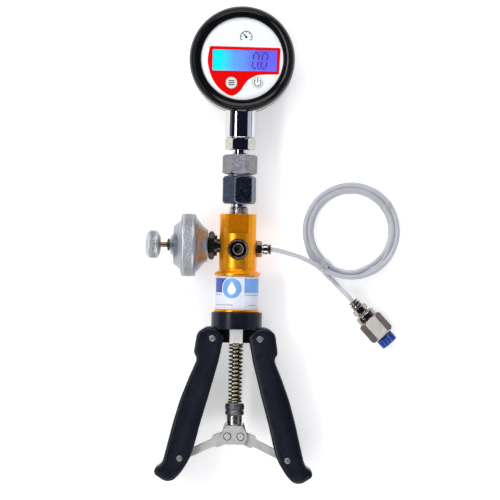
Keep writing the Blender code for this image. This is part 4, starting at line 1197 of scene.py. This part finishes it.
def make_adjuster():
    """The volume adjuster on the left, with the vent valve along its axis."""
    axis = at_place((0, middle("adjuster_barrel").y, AXIS_HEIGHT), OUT_LEFT)
    start, end = out("gland_nut")
    flats = 20.6
    washer = filleted([(start, 6.3), (start, flats * 0.43), (start + 2.0, flats * 0.43)], 0.4)
    outer = [*washer, *hex_bar(flats, start + 2.2, end, cone=0.8)]
    bore = [(start, 6.3), (end, 6.3)]
    piece("gland", sleeve(outer, bore), "oxide_and_shade", node="gland_nut", where=axis, bevel=0.25)

    start, end = out("adjuster_barrel")
    outer = filleted([(start, 5.9), (25.4, 5.9), (25.4, 7.6), (end, 7.6)], 0.3)
    shape = sleeve(outer, [(start, 4.9), (end, 4.9)], SMALL)
    piece("barrel", shape, "oxide_and_shade", node="adjuster_barrel", where=axis)

    make_volume_knob(axis, *out("volume_knob"))

    start, end = out("adjuster_piston")
    outer = filleted([(start, 2.0), (start, 4.6), (end, 4.6), (end, 2.6)], 0.3)
    shape = sleeve(outer, [(start, 1.0), (9.2, 1.0), (11.6, 2.6), (end, 2.6)], SMALL)
    piece("adjuster_plunger", shape, "steel", "adjuster_piston", "adjuster_piston", axis)
    start, end = out("adjuster_end_bush")
    outer = filleted([(start, 2.6), (start, 5.2), (end - 0.6, 5.2), (end, 4.4), (end, 2.6)], 0.35)
    shape = sleeve(outer, [(start, 2.6), (end, 2.6)], SMALL)
    piece("end_bush", shape, "oxide_and_shade", "adjuster_piston", "adjuster_end_bush", axis)
    make_vent(axis)


def make_vent(axis):
    """The vent's needle, its threaded spindle and its small knurled knob."""
    paint(["vent_needle"], "steel")
    start, end = out("vent_spindle")
    threaded = [(start, 0), (start, 2.3), *thread(start + 0.5, 61.5, 2.3, 0.25, 1.0)]
    stations = [*threaded, (61.8, 2.3), (end, 2.3), (end, 0)]
    piece("spindle", lathe(stations, count=SMALL), "bronze", "vent_knob", "vent_spindle", axis)

    start, end = out("vent_knob")
    reach = half_width("vent_knob", 1)
    shoulder = [(67.4, 0), (67.4, 2.6), (start, 2.6), (start, 7.2), (start + 2.4, reach - 0.5)]
    crown = [(end - 2.4, reach - 0.5), (end, 8.8), (end, 4.0), (end - 0.5, 3.4), (end - 0.5, 0)]
    band = knurl(start + 2.6, end - 2.6, reach, 0.6, 40, 4)
    outer = [*filleted(shoulder, 0.4), *band, *filleted(crown, 0.4)]
    piece("vent_grip", lathe(outer, count=240), "knurl", "vent_knob", "vent_knob", axis)


def make_volume_knob(axis, start, end):
    """The large knob: a flared skirt, a knurled band and a stepped front."""
    reach = half_width("volume_knob", 1)
    flare = [(start + 8.2 * i / 8, 13.4 + 8.2 * (i / 8) ** 1.5) for i in range(9)]
    shell = [(48.0 + 5.8 * i / 8, 22.0 - 5.3 * (i / 8) ** 0.6) for i in range(1, 9)]
    rim = [flare[-1], (35.2, 22.2), (35.5, reach - 1.4), (36.6, reach - 0.2)]
    lower = [*flare, *filleted(rim, 0.4)[1:]]
    upper = filleted([(46.9, reach - 0.2), (47.9, reach - 1.4), (48.0, 22.0)], 0.4)
    front = filleted([shell[-1], (54.4, 15.6), (54.6, 9.4), (55.4, 8.6), (end, 7.4), (end, 4.9)], 0.5)
    outer = [*lower, *knurl(36.9, 46.6, reach, 0.6, 84, 5), *upper, *shell, *front[1:]]
    bore = [(start, 12.2), (start + 0.8, 11.6), (start + 1.2, 8), (46.3, 8), (46.3, 4.9)]
    shape = sleeve(outer, bore, 504)
    knob = piece("volume_grip", shape, "knob", "volume_knob", "volume_knob", axis)
    centre = Vector((0, middle("volume_knob").y, AXIS_HEIGHT)) * MM

    def on_band(face):
        return -46.8 < face.center.x / MM < -36.8 and (face.center - centre).yz.length > (reach - 1.2) * MM

    second_look(knob, "knurl", on_band)


# ---------------------------------------------------------------- hose and connector

TIE_ANGLE = 231.0  # where the lead-in meets the coil, in degrees round it
LANDED_AT = 22.0  # where the lead-in has come to the coil's radius, in degrees from the tie
LEAVE_FROM, LEAVE_AT = 1380.0, 1434.0  # where the tail bends outward and leaves the coil


def ease(value, start, end):
    """Goes smoothly from 0 to 1 between two values."""
    share = min(max((value - start) / (end - start), 0), 1)
    return share * share * (3 - 2 * share)


def winding(turned):
    """Where the hose lies in its coil, as (radius, height), after this many degrees from the tie."""
    lays = [(39.3, 10.3), (39.3, 6.05), (35.2, 6.05), (33.6, 2.05), (37.9, 2.05)]
    place = Vector(lays[0])
    for change, low, high in zip((105, 430, 755, 1080), lays, lays[1:]):
        place += (Vector(high) - Vector(low)) * ease(turned, change, change + 35)
    place.x += 2.7 * ease(turned, LEAVE_FROM, LEAVE_AT)
    place.x += 1.4 * (1 - ease(turned, 0, LANDED_AT))
    return place


def coil_centre():
    return middle("hose_coil").xy.to_3d()


def coil_point(turned):
    radius, height = winding(turned)
    angle = math.radians(TIE_ANGLE + turned)
    return coil_centre() + Vector((radius * math.cos(angle), radius * math.sin(angle), height))


def hose_route():
    """The hose's line from inside its fitting, through the coil, to inside the connector."""
    height, y = AXIS_HEIGHT, middle("hose_fitting").y
    lead = [
        Vector((22.5, y, height)),
        Vector((27.6, y - 0.1, height)),
        Vector((34.6, -159.3, height - 1.2)),
        Vector((43.6, -161.6, height - 5.4)),
        Vector((52.3, -164.2, height - 10.4)),
        Vector((58.9, -166.9, height - 13.8)),
        Vector((64.4, -169.7, height - 15.6)),
    ]
    coil = [coil_point(turned) for turned in range(0, int(LEAVE_AT) + 1, 6)]
    mouth, direction = CONNECTOR_MOUTH, CONNECTOR_DIRECTION
    leave = coil[-1] + (coil[-1] - coil[-2]).normalized() * 7
    tail = [
        leave,
        Vector((80.0, -182.9, 2.2)),
        mouth - 14 * direction + Vector((-0.3, -0.6, -5.0)),
        mouth - 7 * direction + Vector((0, -0.2, -1.5)),
        mouth,
        mouth + 6.5 * direction,
    ]
    return curve_through([*lead, *coil, *tail], 2.0)


def make_hose():
    """The hose, its coil's ties, its fitting in the head and the connector on its end."""
    line = hose_route()
    radius = 2.0
    curve = bpy.data.curves.new("hose", "CURVE")
    curve.dimensions = "3D"
    curve.bevel_depth = radius * MM
    curve.bevel_resolution = 4
    curve.use_fill_caps = True
    spline = curve.splines.new("POLY")
    spline.points.add(len(line) - 1)
    for point, place in zip(spline.points, line):
        point.co = (*(place * MM), 1)
    spline.use_smooth = True
    curve.materials.append(looks["hose"].material)
    hose = in_scene("hose", curve)
    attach(hose, "root")
    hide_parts("hose_lead_in", "hose_coil", "hose_tail")

    ties = [make_tie("tie_left", 232.5, 3.6), make_tie("tie_right", 35.0, 2.4)]
    make_fitting()
    ring, connector, cap = make_connector()


def hull(points):
    """The convex outline round 2D points, counter-clockwise."""
    ordered = sorted(set(points))

    def half(sequence):
        made = []
        for point in sequence:
            while len(made) > 1 and cross(made[-2], made[-1], point) <= 0:
                made.pop()
            made.append(point)
        return made[:-1]

    return [*half(ordered), *half(reversed(ordered))]


def cross(a, b, c):
    return (b[0] - a[0]) * (c[1] - a[1]) - (b[1] - a[1]) * (c[0] - a[0])


def make_tie(name, angle, half_band):
    """A clear band wrapped round the strands of the coil at one angle."""
    strands = []
    for turn in range(-1, 5):
        turned = angle - TIE_ANGLE + 360 * turn
        if -1 <= turned <= LEAVE_AT + 6:
            strands.append(tuple(winding(turned)))
    radius, wall = 2.05, 0.4
    around = [point for strand in strands for point in arc(strand, radius + wall, 0, 345, 23)]
    outer = [Vector((x, max(y, 0.15))) for x, y in hull(around)]
    middle_point = sum(outer, Vector((0, 0))) / len(outer)
    inner = [middle_point + (p - middle_point) * (1 - wall / (p - middle_point).length) for p in outer]
    shape = bmesh.new()
    rings = []
    for points, side in ((outer, -1), (outer, 1), (inner, 1), (inner, -1)):
        rings.append([shape.verts.new((p.x, side * half_band, p.y)) for p in points])
    for first, second in zip(rings, [*rings[1:], rings[0]]):
        bridge(shape, first, second)
    where = Matrix.Translation(coil_centre()) @ Matrix.Rotation(math.radians(angle), 4, "Z")
    return piece(name, shape, "tie", where=where, bevel=0.12)


def make_fitting():
    """The small push-in fitting in the head's side."""
    y = middle("hose_fitting").y
    axis = at_place((0, y, AXIS_HEIGHT), OUT_RIGHT)
    hexagon_part = hex_bar(11.8, 14.75, 20.2, cone=0.8)
    neck = filleted([(20.25, 3.8), (21.0, 3.8), (21.2, 4.4), (24.7, 4.4), (25.1, 4.0), (25.1, 3.3)], 0.25)
    outer = [(8.5, 4.0), (14.7, 4.0), *hexagon_part, *neck]
    bore = [(8.5, 1.6), (17.5, 1.6), (17.5, 3.3)]
    piece("hose_union", sleeve(outer, bore), "nickel", node="hose_fitting", where=axis)
    where = at_place((box("fitting_release_ring")[1].x, y, AXIS_HEIGHT), OUT_LEFT)
    make_release_ring("fitting_release_ring", 4.2, where, "oxide_and_shade")


def make_release_ring(node, flange, where, look):
    bore = 2.25
    lip = [(0.5, bore), (0, bore + 0.5), (0, flange), (1.5, flange)]
    shape = lathe(ring_round([*lip, (1.5, 3.0), (5.0, 3.0), (5.0, bore)], 0.25), True, SMALL)
    return piece(f"{node}_turned", shape, look, node, node, where)


def make_connector():
    """The connector on the hose's end: its release ring, its body with two hexagons, and the cap."""
    where = at_place(CONNECTOR_MOUTH, CONNECTOR_DIRECTION)
    ring = make_release_ring("connector_release_ring", 4.35, where, "nickel")
    neck = [(2.3, 3.3), (2.3, 4.85), (4.6, 4.85), (4.8, 4.5), (5.4, 4.5), (5.6, 4.85), (7.15, 4.85)]
    shoulder = [(12.45, 5.2), (13.2, 5.2), (13.4, 6.6), (14.4, 8.0), (15.2, 8.6), (20.15, 8.6)]
    small, large = hex_bar(11.7, 7.2, 12.4, cone=0.8), hex_bar(CONNECTOR_FLATS, 20.2, 39.2, cone=1.1)
    outer = [*filleted(neck, 0.2), *small, *filleted(shoulder, 0.3), *large]
    bore = [(9, 3.3), (9, 2), (24, 2), (24, 5.6), (38.6, 5.6), (39.2, 6.2)]
    body = piece("connector", sleeve(outer, bore), "nickel", node="connector_body", where=where, bevel=0.2)

    def on_hexagon(face):
        along = (face.center / MM - CONNECTOR_MOUTH).dot(CONNECTOR_DIRECTION)
        return 20.4 < along < 39.1 and abs(face.normal.dot(CONNECTOR_DIRECTION)) < 0.1

    # The hexagon's faces get the dark copy as painted shade, and its top and bottom faces get the pale copy
    # as painted light.
    second_look(body, "shaded_side_nickel", on_hexagon)
    second_look(body, "lit_top_nickel", lambda face: on_hexagon(face) and abs(face.normal.z) > 0.9)

    lobes, reach = 12, half_width("blue_cap", 2)

    def ribbed(most):
        def radius(angle):
            wave = math.cos(lobes * angle)
            return most - 0.45 * (1 - wave) * (1 - 0.35 * wave)

        return radius

    skirt = filleted([(30, 0), (30, 5.3), (39.4, 5.3), (39.5, reach - 1.3)], 0.2)
    grip = [(39.7, 0.5), (40.2, 0), (47.2, 0.05), (47.6, 0.35), (47.9, 1.0)]
    ribs = [(place, ribbed(reach - less)) for place, less in grip]
    shape = lathe([*skirt, *ribs, (47.9, 4.6), (47.5, 4.2), (47.5, 0)], count=144)
    cap = piece("cap", shape, "blue", "blue_cap", "blue_cap", where, smooth=40)
    return ring, body, cap


# ---------------------------------------------------------------- whole


def paint_inner_parts():
    """The working parts inside, which only show when the pump is taken apart."""
    for nodes, name in (
        (["circuit_board"], "board"), (["battery"], "battery"), (["pressure_sensor"], "steel"),
        (["rod_guide"], "bronze"), (["piston"], "aluminium"), (["piston_seal"], "rubber"),
    ):
        paint(nodes, name)


make_looks()
make_camera()
make_studio()
make_hose()
make_gauge()
make_stem()
make_union()
make_nipple()
make_head()
make_cylinder()
make_yoke()
make_rod()
for name, side in (("left", -1), ("right", 1)):
    make_handle(name, side)
make_adjuster()
paint_inner_parts()


def plain(bounds):
    """A box as plain lists of numbers."""
    return [[float(value) for value in corner] for corner in bounds]


{"cad": plain(cad_box), "visual": plain(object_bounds())}
